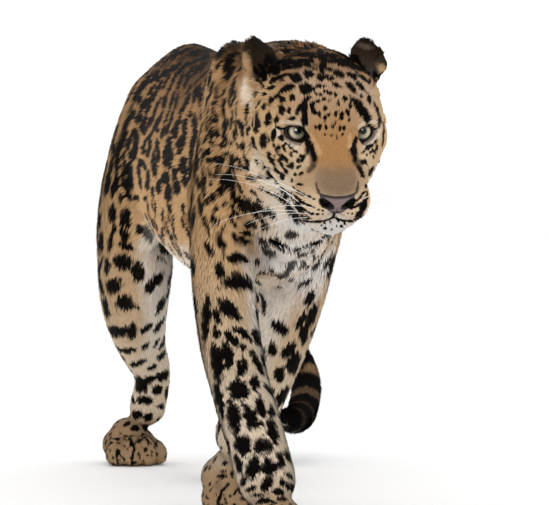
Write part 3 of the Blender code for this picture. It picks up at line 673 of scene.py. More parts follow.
ears_copy = merged_copy(["ear_right", "ear_left"], "ears_copy")
nudge(ears_copy)
ear_tree = tree_of(ears_copy)
bpy.data.objects.remove(ears_copy)
EAR_EDGE = (0.0016, 0.0034)
# Where on the head ears can be: sideways, forward and up, from and to
EAR_SPACE = ((0.02, 0.13), (-0.16, -0.03), (0.010, 0.11))


def ear_share(points):
    """One on the ears, by how near the ears' own solids are."""
    sideways, forward, up = head_coordinates(points)
    near = np.ones(len(points), bool)
    for value, (least, most) in zip((np.abs(sideways), forward, up), EAR_SPACE):
        near &= (value > least) & (value < most)
    gaps = np.full(len(points), 1.0)
    for index in np.nonzero(near)[0]:
        gaps[index] = ear_tree.find_nearest(points[index])[3]
    return 1 - smooth_step(*EAR_EDGE, gaps)


# The slit between the lids, as it is in the solids: half sizes, slant, and how the eye is turned
SLIT_HALF_WIDTH = 0.0128
SLIT_UPPER = 0.0072
SLIT_LOWER = 0.0086
SLIT_SLANT = math.radians(17.0)
EYE_TURN = math.radians(4.0)
EYE_TIP = math.radians(-24.0)
EYE_SIDES = {"right": -1, "left": 1}
FAR_OUT = 9.0
EYE_BEHIND = 0.004
EYE_REACH = 0.034


def eye_turned(sign):
    """How the eye of this side is turned."""
    return head_frame.to_3x3() @ Matrix.Rotation(sign * EYE_TURN, 3, "Z") @ Matrix.Rotation(EYE_TIP, 3, "X")


def round_the_eyes(points):
    """How far out from each slit a point is, 1 on its edge, whether it is above, and how far to the outer corner."""
    out = np.full(len(points), FAR_OUT)
    above = np.zeros(len(points))
    outward = np.zeros(len(points))
    for side, sign in EYE_SIDES.items():
        local = (points - np.array(box_middle("eye_" + side))) @ np.array(eye_turned(sign))
        c, s = math.cos(sign * SLIT_SLANT), math.sin(sign * SLIT_SLANT)
        x, z = local[:, 0] * c + local[:, 2] * s, local[:, 2] * c - local[:, 0] * s
        tall = np.where(z > 0, SLIT_UPPER, SLIT_LOWER)
        ring = np.hypot(x / SLIT_HALF_WIDTH, z / tall)
        near = (local[:, 1] < EYE_BEHIND) & (length_of(local) < EYE_REACH)
        out[near] = ring[near]
        above[near] = (z / tall)[near] / np.maximum(ring[near], 1e-3)
        outward[near] = (sign * x / SLIT_HALF_WIDTH)[near] / np.maximum(ring[near], 1e-3)
    return out, above, outward


print("slit between the lids:", 2 * SLIT_HALF_WIDTH, "m long")

# %% [markdown]
# Now the ground colour of any point can be mixed: the zones of the face on the head, the crest along
# the spine, white underneath and inside the legs, and the paler underside of the tail.

# %% The ground colour of a point
BREAST_MIDDLE = 0.022
BREAST_WIDTH = (0.078, 0.048)
BREAST_TOP = (0.60, 0.54)
TRUNK_CREST = 0.74
NECK_CREST = 0.85
HIND_INSIDE_AHEAD = 0.55
EAR_PATCH_SHARE = 0.05


def tail_underside(points, normals, along):
    """One on the white side of the tail, which faces down and back near the root and inwards further on."""
    facing = -0.6 * normals[:, 2] - 0.5 * normals[:, 1] * smooth_step(0.2, 0.5, along["tail"])
    facing = facing - 0.5 * normals[:, 0] * smooth_step(0.35, 0.6, along["tail"])
    return smooth_step(0.35, 0.65, facing)


def face_colour(points):
    """The colour of the head between the marks: the zones of the face, the eyes' surrounds and the ears."""
    sideways, forward, up = head_coordinates(points)
    place = np.stack([np.abs(sideways), forward, up], 1)
    total = np.full(len(points), 1e-4)
    face = total[:, None] * COLOURS["cheek"]
    for x, y, z, reach, name in FACE_ZONES:
        weight = np.exp(-np.sum((place - [x, y, z]) ** 2, axis=1) / reach ** 2)
        total = total + weight
        face = face + weight[:, None] * COLOURS[name]
    face = face / total[:, None]
    # Cream under and over each eye, and the dark skin of its lower lid
    out, above, outward = round_the_eyes(points)
    lower = smooth_step(0.10, -0.35, above)
    upper = smooth_step(0.15, 0.55, above)
    cream_below = 0.95 * lower * smooth_step(2.30, 1.95, out) * smooth_step(-1.02, -0.70, outward)
    face = mix(face, COLOURS["cream"], cream_below)
    face = mix(face, COLOURS["cream"], 0.75 * upper * smooth_step(2.20, 1.80, out) * smooth_step(1.45, 1.6, out))
    face = mix(face, COLOURS["lid"], 0.90 * lower * smooth_step(1.62, 1.46, out))
    ear = ear_share(points)
    patch = smooth_step(0.30, -0.2, waves(points, 60.0, 12)) * EAR_PATCH_SHARE
    face = mix(face, mix(COLOURS["ear"], COLOURS["ear_patch"], patch), ear)
    return face


def ground_colour(points, normals, shares, along):
    """The colour of the coat between the marks."""
    colours = np.zeros((len(points), 3))
    down = -normals[:, 2]
    forward_facing = -normals[:, 1]
    slow = waves(points, 26.0, 11)
    white_under = smooth_step(0.30, 0.85, down + 0.12 * slow)
    white_front = smooth_step(0.30, 0.70, forward_facing + 0.1 * slow)
    white_front *= smooth_step(*BREAST_WIDTH, np.abs(points[:, 0] - WHERE.x - BREAST_MIDDLE))
    white_front *= smooth_step(*BREAST_TOP, points[:, 2])
    spine = smooth_step(0.30, 0.78, normals[:, 2] + 0.12 * slow)
    body = mix(COLOURS["flank"], COLOURS["back"], smooth_step(-0.15, 0.75, normals[:, 2]))
    body = mix(mix(body, COLOURS["belly"], white_under), COLOURS["breast"], white_front)
    colours += shares["trunk"][:, None] * mix(body, COLOURS["crest"], TRUNK_CREST * spine)
    neck_crest = NECK_CREST * smooth_step(0.45, 0.80, normals[:, 2])
    colours += shares["neck"][:, None] * mix(body, COLOURS["crest"], neck_crest)
    for leg in LEGS:
        side = -1 if leg.endswith("right") else 1
        inward = -normals[:, 0] * side + 0.12 * slow
        if leg.startswith("hind"):
            inward = inward + HIND_INSIDE_AHEAD * forward_facing
        inner = smooth_step(0.20, 0.80, inward)
        high = smooth_step(0.55, 0.15, along[leg])
        tan = mix(COLOURS["leg"], COLOURS["flank"], high)
        tan = mix(tan, COLOURS["leg_low"], 0.8 * smooth_step(0.45, 0.72, along[leg]))
        tan = mix(tan, COLOURS["paw"], smooth_step(0.82, 0.95, along[leg]))
        tan = mix(tan, COLOURS["breast"], white_front * smooth_step(0.40, 0.20, along[leg]))
        inside = mix(COLOURS["jowl"], COLOURS["belly"], smooth_step(0.8, 0.4, along[leg]))
        colours += shares[leg][:, None] * mix(tan, inside, inner * smooth_step(1.0, 0.8, along[leg]))
    tail = mix(COLOURS["tail"], COLOURS["tail_end"], smooth_step(0.55, 0.85, along["tail"]))
    tail = mix(tail, COLOURS["tail_under"], tail_underside(points, normals, along))
    colours += shares["tail"][:, None] * tail
    colours += shares["head"][:, None] * face_colour(points)
    return colours


print("zones of the face:", len(FACE_ZONES))

# %% [markdown]
# The dark marks are what makes the animal. Those that the camera sees were read off the enlarged
# picture one by one. Each is an oval: its place, half length and half width in pixels, and
# its turn in degrees. A line has its points, its half widths at both ends and its colour.

# %% Marks read off the picture
FACE_MARKS = [
    (302.5, 61.6, 10.5, 2.5, 5), (296.1, 67.2, 10.5, 2, -5), (286.3, 63.7, 7, 2.2, -25),
    (273.7, 64.4, 6.7, 3.6, 95), (282.1, 76.3, 7.7, 2, -18), (274.4, 79.8, 5.6, 2, -25),
    (296.1, 78.4, 5.1, 3.9, 0), (308.8, 74.6, 4.8, 3.4, 0), (287, 88.7, 7, 3.1, -22),
    (306.2, 88.9, 6.5, 4.8, 0), (270.2, 87.8, 4.2, 1.7, -20), (307.1, 99.1, 4.8, 2.2, -35),
    (292.2, 97.4, 3.1, 2.5, 90), (282.4, 99.9, 3.1, 2.8, 0), (276.8, 96.7, 2.5, 2, 0),
    (270.9, 100.9, 3.9, 2.5, 90), (265, 105.8, 3.1, 2.1, 100), (258.2, 104.4, 3.5, 1.7, 110),
    (264.6, 93.9, 2, 2, 0), (282.1, 109.7, 3.9, 3.1, 90), (289.1, 110.3, 2.2, 1.7, -40),
    (299.6, 108.6, 6.2, 2.1, -60), (292.6, 117.7, 4.8, 1.7, -10), (304.8, 115.6, 10.5, 2.8, 95),
    (256.6, 121.9, 7.7, 3.8, 92), (267.8, 119.8, 5.9, 3.2, 92), (276.2, 119.1, 3.1, 1.7, 110),
    (254.3, 141.6, 6.7, 3.2, 90), (263.2, 140.9, 6.7, 3.4, 90), (268.9, 140.2, 3.1, 1.1, 90),
    (249.8, 146.5, 5.1, 1.4, 90), (273.7, 134.6, 5.9, 2.2, 105), (247, 114.2, 8.4, 1.5, 92),
    (242.5, 128.2, 6.3, 2.8, 80), (264.1, 160.5, 5.9, 2.2, 60), (271.2, 158.4, 5.9, 2, 65),
    (257.1, 160.5, 3.1, 1.7, 90), (247.7, 160.5, 5.6, 2.2, 60), (270.2, 173.2, 5.3, 2, 30),
    (282.1, 165.4, 6.5, 1.5, 60), (277.6, 150.7, 3.6, 2, 80), (282.1, 157, 2.8, 2, 90),
    (286.5, 159.4, 2.8, 1.4, 80), (276.8, 170.4, 3.4, 1.5, 40), (282.1, 176, 3.4, 2, 80),
    (292.1, 165.4, 3.4, 2.7, -20), (298, 160.2, 2.5, 1.7, 100), (303.2, 158, 3.5, 1.8, 115),
    (298.4, 166.8, 2.5, 1.3, -30), (295.4, 174.6, 2.2, 1.8, 0), (301.2, 173.4, 2.4, 1.1, -30),
    (283.5, 145.8, 1.8, 1.1, -20), (289.1, 145.1, 1.3, 1, 0), (292.2, 152.1, 1.3, 1, 0),
    (292.2, 180.2, 2.1, 1.7, 0), (299.6, 184.4, 3.5, 1.1, -5), (287, 171.8, 2, 1.1, 70),
    (275.1, 156.3, 1.4, 1, 60), (280, 136.7, 2.5, 1.1, -20), (294, 187.5, 3.4, 1.3, 50),
    (297.7, 191.8, 2.2, 1.3, 35), (303, 194.5, 2.4, 1.5, 20), (308.6, 196.7, 2, 1.4, 20),
    (313.5, 198.8, 1.4, 1.1, 0), (296.4, 197.3, 4.8, 1.1, 42), (301.9, 202.1, 3.9, 1.4, 28),
    (308.2, 205.3, 3.6, 1.4, 20), (313.8, 207.3, 2, 1, 15), (318.2, 209.5, 1.3, 1, 0),
    (322.8, 210.6, 0.8, 0.7, 0), (296.8, 202.4, 4.5, 1.1, 42), (303.3, 209.1, 4.2, 1.3, 30),
    (310.6, 213.3, 2.7, 1.3, 15), (317.5, 214, 1.3, 1, 0), (322.8, 214.1, 0.8, 0.7, 0),
    (288.4, 203.5, 7.3, 1.8, 35), (296.8, 211.9, 6.7, 2.4, 38), (283.2, 198.8, 8.4, 1.5, 40),
    (301.8, 217.4, 5.1, 1.4, 20), (365.6, 186.1, 2, 1.3, 90), (363.5, 192.8, 2.2, 1.3, -30),
    (359.6, 197.7, 2.5, 1.3, -35), (357.1, 200.7, 1.3, 1, 0), (362.4, 203.2, 4.5, 1.3, -25),
    (355.6, 206.6, 4.2, 1, -18), (351.2, 209.1, 1.5, 0.8, 0), (357.9, 212.6, 1.5, 1, 0),
    (352.4, 213.7, 1.3, 1, 0), (348.2, 213.3, 0.8, 0.7, 0), (363.8, 207.1, 11.8, 2.8, -65),
    (358.7, 217.4, 4.8, 1.5, -10), (312.3, 104.4, 2.8, 2.1, 60), (313.7, 110.7, 3.8, 2.1, 50),
    (319.7, 114.5, 2.8, 1.4, 80), (324.9, 107.9, 2.5, 1.7, 90), (324.9, 118.4, 3.1, 1.7, 95),
    (320, 126.4, 2.8, 1.4, 100), (315.8, 126.8, 2, 1, 80), (326, 126.8, 2, 1.1, 90),
    (328.7, 114.2, 1.7, 1.1, 90), (332.6, 126.8, 2.8, 1.3, 90), (336, 113.5, 2.5, 1.5, 100),
    (341.3, 115.9, 3.6, 2.2, 90), (338.4, 103, 2.2, 1.4, 90), (344.7, 98.5, 2.8, 2, 60),
    (347.4, 112.8, 3.1, 1.5, 80), (350.2, 104.4, 3.6, 1.4, 95), (344, 128.2, 2.2, 1.4, 110),
    (339.9, 129.1, 2.2, 1.3, 90), (335.4, 123.1, 1.7, 1.1, 90), (336.8, 136.9, 2, 0.8, 90),
    (324.5, 134.6, 1.1, 0.7, 0), (331.9, 135.3, 1.3, 0.7, 0), (342.6, 134.1, 1.4, 0.8, 90),
    (348.9, 119.8, 1.7, 1.1, 90), (318.6, 100.9, 2, 1.4, 0), (315.9, 93.2, 2, 1.4, 0),
    (320.8, 94.8, 1.7, 1.4, 0), (325.6, 91.8, 2, 1.3, 0), (330.1, 93.2, 2, 1.3, 30), (335.6, 94.6, 2, 1.3, 60),
    (324.2, 98.8, 1.7, 1.1, 0), (329.8, 100.2, 1.4, 1, 0), (318.6, 86.1, 2.2, 1.7, 0),
    (324.5, 86.1, 2.2, 1.3, 0), (320.8, 79.4, 3.2, 2, 0), (329.3, 70, 3.9, 1.4, 10), (315.8, 70, 2.8, 1.1, 0),
    (322.8, 72.1, 5.9, 1.1, 80), (331.2, 78.4, 3.1, 2, 20), (327, 76.3, 2, 1.3, 0), (335.7, 85.4, 3.1, 1.7, 40),
    (339.8, 86.4, 2, 1.3, 30), (339.1, 74.6, 4.8, 3.1, 30), (350.6, 87.3, 6.5, 2.4, 40),
    (360.1, 86.1, 5.3, 2.2, 45), (351.6, 76.3, 5.1, 2.4, 35), (363.8, 78.4, 5.3, 2, 40),
    (361, 96, 2.4, 1.1, 60), (369.1, 98.8, 4.5, 1.7, 80), (376.6, 110, 5.9, 1.4, 75),
    (378.9, 117.7, 5.6, 1.4, 72), (336.8, 62.3, 7, 2.2, 10), (346.7, 62, 6.7, 2.1, 5),
    (348.8, 68.2, 8.7, 1.5, 20), (358.6, 65.8, 8.7, 2.4, 25), (364.1, 71, 6.5, 2, 30),
    (320, 53.9, 6.2, 2.8, 80), (324.6, 63, 5.1, 1.7, 90), (298.9, 53.2, 7, 2, 5), (308.8, 56.4, 4.5, 1.8, 10),
    (289.1, 54.1, 5.9, 1.8, 10), (329.8, 56.7, 5.6, 1.7, 20), (306, 49.6, 7, 1.4, 5),
    (361.4, 109.7, 12.1, 3.4, 57), (365.6, 115.9, 5.6, 2.5, 30), (383.9, 126.8, 6.5, 1.8, 85),
    (383.2, 138.8, 6.5, 1.7, 90), (378.4, 124.3, 4.2, 1.4, 80), (368.8, 146.8, 4.2, 1.8, -30),
    (364.9, 161.9, 3.1, 2.1, 20), (370.8, 170.6, 4.5, 2.5, -60), (360.7, 170.4, 4.5, 1.8, 60),
    (363.2, 176, 1.7, 1.3, 0), (367, 154.9, 1.4, 1.1, 0), (374.7, 151.8, 2.4, 1.1, 60),
    (381.8, 156.3, 4.5, 1.5, -65), (380.4, 163.6, 3.6, 1.3, -60), (374.7, 176.2, 6.5, 0.8, -60),
    (370.8, 179.9, 4.8, 0.7, -55), (373.3, 157, 2, 0.8, 80), (377, 147.6, 2.8, 0.8, 80),
    (319.3, 221.6, 1.3, 1.1, 0), (324.2, 223.1, 1.1, 1, 0), (330, 221.6, 1.1, 1, 0),
    (325.1, 228.2, 1.4, 1.1, 0), (331.9, 229.3, 1.1, 1.1, 0), (341.3, 226.5, 1.5, 1.3, 0),
    (344.7, 223.7, 1.3, 1.1, 0), (338.4, 220.9, 1.3, 1, 0), (321.4, 225.4, 1, 0.8, 0),
    (336.8, 225.8, 0.8, 0.8, 0), (261.1, 74.9, 6.2, 3.6, 30), (266, 79.4, 3.6, 1.7, 20),
    (256.8, 70.7, 4.2, 1.7, 50), (375.4, 76.3, 4.2, 2.5, 100), (381.8, 90.4, 2.5, 1.1, 90),
]
BODY_MARKS = [
    (254, 208, 18.2, 5.8, 22), (241.6, 240.5, 9.5, 4.1, 25), (220.9, 243.2, 8.3, 4.1, 60),
    (240, 258.1, 11.2, 5, 8), (270.6, 253.5, 9.3, 3.7, 20), (219.9, 271.2, 7.5, 4.6, 70),
    (240.2, 283.2, 14.1, 7.9, 5), (255.1, 297.7, 5.4, 5, 0), (229.2, 310.5, 12.8, 6.2, 45),
    (209.1, 249.4, 6.6, 2.9, 65), (214.7, 220.4, 5.6, 2.7, 70), (207, 225.6, 8.7, 2.1, 75),
    (224, 228.7, 2.9, 2.5, 0), (233.3, 222.5, 6.2, 2.3, 50), (237.1, 215.6, 4.6, 2.1, 20),
    (252, 225, 7, 2.7, 20), (246.8, 233.7, 6.6, 1.9, 10), (263.4, 242.2, 6.2, 2.5, 25),
    (256.1, 263.3, 2.9, 1.9, 0), (271.7, 269.5, 3.1, 2.9, 0), (302.7, 252.9, 5.6, 3.1, -35),
    (290.3, 266, 6, 2.7, -40), (306, 265.4, 3.9, 2.3, -40), (315.4, 264.9, 6.4, 2.3, -50),
    (312.3, 248.4, 4.8, 2.7, -60), (323.4, 249.4, 6.6, 1.7, -60), (325.9, 262.9, 8.7, 1.7, -60),
    (304.8, 283.6, 7.3, 2.5, -30), (290.3, 278.4, 2.5, 1.7, -20), (279.5, 286.7, 2.7, 1.7, -10),
    (206.4, 320.9, 20.7, 4.8, 95), (217.4, 317.1, 7.7, 3.7, 75), (217.4, 334.3, 4.6, 3.7, 90),
    (232.3, 339.9, 9.5, 3.7, 50), (233.9, 330.8, 2.9, 2.7, 0), (242.6, 348.2, 3.7, 3.5, 0),
    (244.7, 335.4, 8.7, 3.5, 40), (217.4, 364.8, 18.2, 5.8, 84), (227.7, 356.5, 13.5, 5.2, 82),
    (242.2, 367.5, 8.5, 5.4, 85), (255.1, 384.1, 6.8, 4.6, 80), (238.5, 390.3, 10.8, 9.1, 70),
    (257.2, 364.4, 12.8, 3.1, 65), (260.9, 407.9, 10.4, 4.6, 75), (250.5, 417.8, 12, 6.2, 68),
    (259.2, 424.9, 4.4, 3.3, 0), (233.3, 417.6, 15.7, 6.4, 80), (219.4, 400, 18.6, 3.9, 78),
    (272.7, 431.7, 11.6, 5.2, 75), (242.6, 445.6, 11, 7.9, 60), (263.4, 446.4, 8.9, 7.5, 0),
    (253, 468.6, 11, 7, -70), (269.2, 468.2, 8.7, 7.5, 30), (280.4, 459.3, 8.3, 4.1, 80),
    (238.5, 464.9, 9.5, 3.5, 75), (243.7, 482.5, 4.8, 3.1, -40), (266.5, 485.8, 7.5, 5.4, -50),
    (251.3, 489.5, 4.8, 3.1, -20), (277.9, 492, 6.4, 3.3, 10), (282, 483.7, 4.8, 2.3, 90),
    (291.3, 488.1, 5.6, 3.9, 30), (257.2, 495.3, 6.2, 2.1, -10), (289.3, 476.7, 5.6, 2.1, 50),
    (265.4, 501.5, 8.7, 2.7, 0), (243.7, 498.4, 3.5, 2.1, 0), (282, 499.5, 5.2, 2.3, 0),
    (294.9, 497.4, 5.6, 2.3, 20), (300, 491.2, 5.6, 1.9, 50), (279.9, 327.3, 8.1, 5.4, 30),
    (288.6, 349.9, 9.3, 4.8, -50), (273.3, 349, 6.8, 3.7, 90), (293.4, 364.4, 10.8, 4.6, -70),
    (279.5, 374.7, 7.7, 5, -80), (303.8, 334.3, 11.6, 3.9, -80), (312, 314.7, 10.8, 3.7, -75),
    (308.9, 298.5, 8.7, 3.7, -70), (282, 396.5, 11.6, 4.4, -60), (301.7, 319.2, 8.7, 3.1, -60),
    (290.3, 391.3, 12.8, 2.1, -70), (270.6, 393.4, 10.8, 3.1, 60), (271.7, 412, 6.6, 2.7, 80),
    (201.2, 206.9, 10.4, 2.3, 85), (204.3, 190.4, 8.3, 2.1, 80), (219.9, 192.4, 4.6, 3.3, 60),
    (226.1, 184.1, 8.3, 4.6, 30), (207.4, 202.8, 3.7, 2.3, 70), (213.6, 198.6, 6.2, 2.1, 80),
    (216.8, 209, 2.5, 2.1, 0), (225, 204.4, 2.5, 2.1, 0), (232.3, 206.9, 2.5, 1.9, 0),
    (210.5, 184.1, 2.9, 2.5, 0),
]
HIND_MARKS = [
    (98, 240.5, 13, 3.1, 93), (111, 242.9, 8.1, 2.6, 100), (123.2, 262.1, 9.8, 7.2, 8),
    (137.9, 272.2, 8.8, 5.9, 78), (100, 272.2, 13, 3.3, 95), (107.8, 266.5, 8.1, 2.6, 92),
    (114, 286, 7.5, 7.2, 0), (156.6, 279.5, 8.1, 4.2, -50), (149.7, 286.8, 8.5, 4.2, -60),
    (124.9, 303.1, 8.1, 7.5, 0), (137.1, 306.7, 2.9, 1.5, 30), (106.1, 308, 10.6, 4.4, 80),
    (115.1, 331.6, 9.8, 6.2, 15), (131.9, 331.6, 6.5, 4.6, 90), (146, 328.3, 6.8, 2.9, -40),
    (124, 350.3, 9.8, 2.8, 5), (145.2, 346.2, 5.2, 2.1, -45), (155.8, 342.9, 5.2, 1.8, -60),
    (137.9, 363.3, 8.5, 2.4, -20), (151.7, 367.3, 5.9, 2.1, -30), (162.3, 355.1, 5.9, 3.3, -60),
    (164.2, 335.6, 6.8, 2.8, 75), (163.1, 376.3, 6.8, 4.2, -40), (141.1, 383.6, 8.1, 6.8, 60),
    (150.1, 378.7, 7.5, 3.3, -15), (157.4, 390.1, 5.5, 3.6, -40), (132.2, 398.3, 4.6, 2.8, 90),
    (144.4, 401, 7.8, 4.4, 0), (160.6, 406.9, 3.6, 2.9, 0), (135.8, 415, 4.6, 4.1, 0),
    (148.1, 417.8, 4.2, 3.9, 0), (128.6, 411.3, 3.3, 2.4, 90), (127, 424.3, 3.6, 2.1, -30),
    (134.8, 428.4, 4.6, 2.9, 0), (144.9, 427, 3.9, 2.9, 30), (156.6, 434.9, 3.9, 1.8, 50),
    (166.3, 392.6, 6.5, 2.1, 95), (161.8, 420.2, 3.3, 1.1, 90), (124.9, 234.8, 7.2, 4.2, 60),
    (126.5, 246.1, 8.1, 3.6, 20), (115.1, 229.1, 4.9, 2.3, 110), (148.4, 233.9, 7.2, 4.6, 70),
    (163.9, 233.1, 6.2, 4.2, 80), (164.4, 249.4, 6.8, 5.2, 40), (139.5, 229.1, 5.2, 2.6, 80),
    (176.4, 261.1, 6.8, 3.3, 30), (176.4, 236.4, 3.9, 2.9, 60), (161.5, 260, 4.9, 1.6, 30),
    (117.5, 439.7, 2.6, 1.5, -20), (125.7, 436.5, 2.3, 1.3, 10), (111, 443, 2, 1.1, -30),
    (106.1, 451.1, 2, 1.1, -60), (119.2, 452.8, 2.9, 1.6, 90), (112.7, 457.6, 1.6, 1, 80),
    (124, 459.3, 1.6, 1, 40), (131.4, 443, 3.6, 2, 80), (138.7, 441.4, 2.3, 1.3, -20),
    (146, 438.1, 2.6, 1.3, 10), (145.2, 449.5, 2.6, 1.5, 50), (151.7, 456, 1.6, 1, 50),
    (138.7, 454.4, 2, 1.1, 90), (155.8, 444.6, 2.3, 1.3, 70), (133.8, 462.5, 2.3, 1.3, 20),
    (142.8, 460.9, 1.5, 1, 0), (149.3, 443, 2, 1, 30),
]
FLANK_MARKS = [
    (140.5, 100.5, 3.5, 1.7, 115), (144, 106.4, 5.9, 1.8, 115), (149.3, 102.3, 5.9, 1.8, 115),
    (155.8, 95.8, 5.3, 1.5, 115), (148.7, 109.9, 4.7, 1.5, 118), (165.8, 102.3, 5.3, 2.6, 100),
    (158.1, 106.4, 7.1, 1.5, 112), (169.9, 91.1, 5.3, 1.5, 112), (173.5, 100.5, 7.1, 1.7, 105),
    (177.6, 101.7, 5.9, 1.8, 100), (167.6, 81.6, 7.1, 1.5, 118), (160.5, 86.3, 5.9, 1.5, 120),
    (153.4, 89.9, 5.3, 1.5, 125), (174.7, 80.5, 5.9, 1.5, 112), (181.7, 81.6, 7.1, 1.8, 112),
    (187.6, 82.8, 5.3, 1.8, 115), (190, 89.9, 4.7, 1.5, 118), (185.3, 106.4, 4.7, 1.5, 100),
    (188.8, 100.5, 5.3, 1.8, 112), (181.7, 112.3, 3.5, 1.3, 100), (195.9, 95.8, 7.1, 1.8, 100),
    (200, 91.1, 5.9, 1.8, 100), (201.2, 100.5, 4.7, 1.5, 95), (191.2, 72.2, 5.9, 1.8, 125),
    (198.3, 69.8, 6.5, 2, 125), (204.2, 67.5, 5.3, 1.8, 125), (184.1, 68.7, 5.9, 2, 135),
    (177, 68.7, 5.3, 1.8, 135), (169.9, 72.2, 5.9, 1.8, 130), (162.9, 75.7, 5.9, 1.8, 130),
    (155.8, 76.9, 6.5, 1.8, 128), (148.7, 80.5, 5.9, 1.8, 125), (142.8, 87.5, 6.5, 2, 120),
    (136.9, 95.8, 5.9, 2, 112), (130.4, 119.4, 6.5, 1.7, 112), (126.3, 127.6, 5.9, 1.7, 112),
    (134.6, 114.7, 4.1, 1.5, 112), (139.9, 118.8, 4.1, 2.8, 115), (145.2, 122.9, 5.9, 1.8, 110),
    (144.6, 130, 4.1, 2.4, 75), (149.3, 125.3, 7.1, 1.5, 112), (154.6, 117, 7.1, 1.5, 108),
    (157, 125.3, 7.1, 2, 112), (161.1, 119.4, 6.5, 2, 112), (158.1, 130, 2.9, 1.8, 60),
    (164, 133.5, 5.3, 2, 105), (169.9, 126.5, 7.1, 1.5, 112), (167.6, 118.2, 5.9, 1.4, 112),
    (172.3, 119.4, 7.1, 1.3, 108), (178.2, 125.3, 5.9, 2.2, 110), (175.8, 133, 3.8, 2.9, 90),
    (185.9, 127.6, 7.1, 1.8, 95), (185.3, 137.1, 5.3, 2, 100), (181.7, 144.2, 4.7, 3.2, 105),
    (180, 151.2, 2.9, 2, 110), (193, 144.2, 5.3, 1.8, 95), (195.3, 125.3, 8.3, 1.8, 90),
    (195.9, 138.3, 5.9, 1.8, 92), (191.2, 114.7, 3.5, 1.4, 100), (135.7, 133.5, 3.5, 2.4, 95),
    (136.9, 141.8, 7.1, 2.2, 95), (130.4, 141.8, 5.9, 2, 110), (128.7, 147.7, 2.9, 2, 90),
    (133.4, 156, 4.1, 2.9, 80), (137.5, 150.1, 3.5, 1.8, 100), (125.1, 135.9, 5.9, 1.8, 105),
    (122.8, 143, 4.7, 1.5, 100), (151.1, 137.1, 3.5, 2.5, 110), (146.3, 144.2, 5.3, 1.8, 110),
    (151.1, 146.5, 4.7, 2.2, 95), (144.6, 150.1, 3.3, 2.2, 90), (148.7, 153.6, 2.9, 2.2, 80),
    (158.1, 144.2, 4.1, 2, 90), (159.3, 153.6, 7.1, 1.8, 92), (154.6, 158.3, 7.1, 2.2, 100),
    (155.8, 168.9, 5.9, 2.5, 90), (169.9, 144.2, 5.3, 2.5, 95), (171.7, 153.6, 5.9, 2, 92),
    (166.4, 153.6, 5.9, 2.2, 100), (167.6, 160.7, 4.7, 2.9, 90), (170.5, 165.4, 2.9, 2.2, 90),
    (119.2, 150.1, 7.1, 2, 100), (114.5, 150.1, 4.7, 1.5, 100), (184.7, 161.9, 4.1, 2.9, 95),
    (181.7, 167.8, 3.5, 2.5, 100), (185.9, 170.1, 5.3, 2.2, 92), (185.9, 179.6, 5.9, 2.5, 90),
    (175.8, 174.8, 5.9, 2.2, 85), (177.6, 187.8, 5.3, 2.9, 90), (166.4, 178.4, 4.7, 3.2, 95),
    (160.5, 183.1, 4.1, 1.8, 110), (159.9, 189, 3.3, 2.7, 90), (169.4, 187.8, 5.9, 2, 85),
    (169.4, 196.1, 4.1, 2.7, 90), (149.3, 177.2, 5.3, 2.2, 90), (148.7, 185.5, 3.5, 2.7, 90),
    (142.8, 163, 3.5, 2.9, 60), (139.9, 171.3, 5.9, 2.2, 90), (146.3, 166.6, 3.5, 2, 80),
    (141.6, 181.9, 5.9, 2.2, 85), (131, 168.9, 5.3, 2.5, 85), (132.2, 179.6, 7.1, 2.5, 88),
    (126.3, 170.1, 5.9, 2.2, 80), (123.9, 178.4, 5.3, 1.8, 85), (125.7, 187.8, 5.3, 2.2, 75),
    (128.7, 194.9, 4.7, 2.5, 75), (118, 164.2, 7.1, 2.2, 95), (117.4, 181.9, 7.1, 2, 92),
    (112.1, 166.6, 7.1, 1.5, 100), (108.6, 181.9, 7.1, 2.2, 100), (113.3, 190.2, 5.9, 1.8, 95),
    (107.4, 190.2, 4.7, 1.8, 100), (124.5, 158.3, 4.7, 1.8, 80), (192.4, 154.8, 7.1, 1.8, 95),
    (191.8, 170.1, 7.1, 1.8, 88), (197.7, 159.5, 9.4, 1.8, 92), (121.6, 197.3, 3.5, 1.8, 80),
    (138.1, 197.8, 2.4, 2.4, 0), (146.9, 198.4, 2.4, 2, 0), (188.8, 192.5, 7.1, 1.8, 85),
]
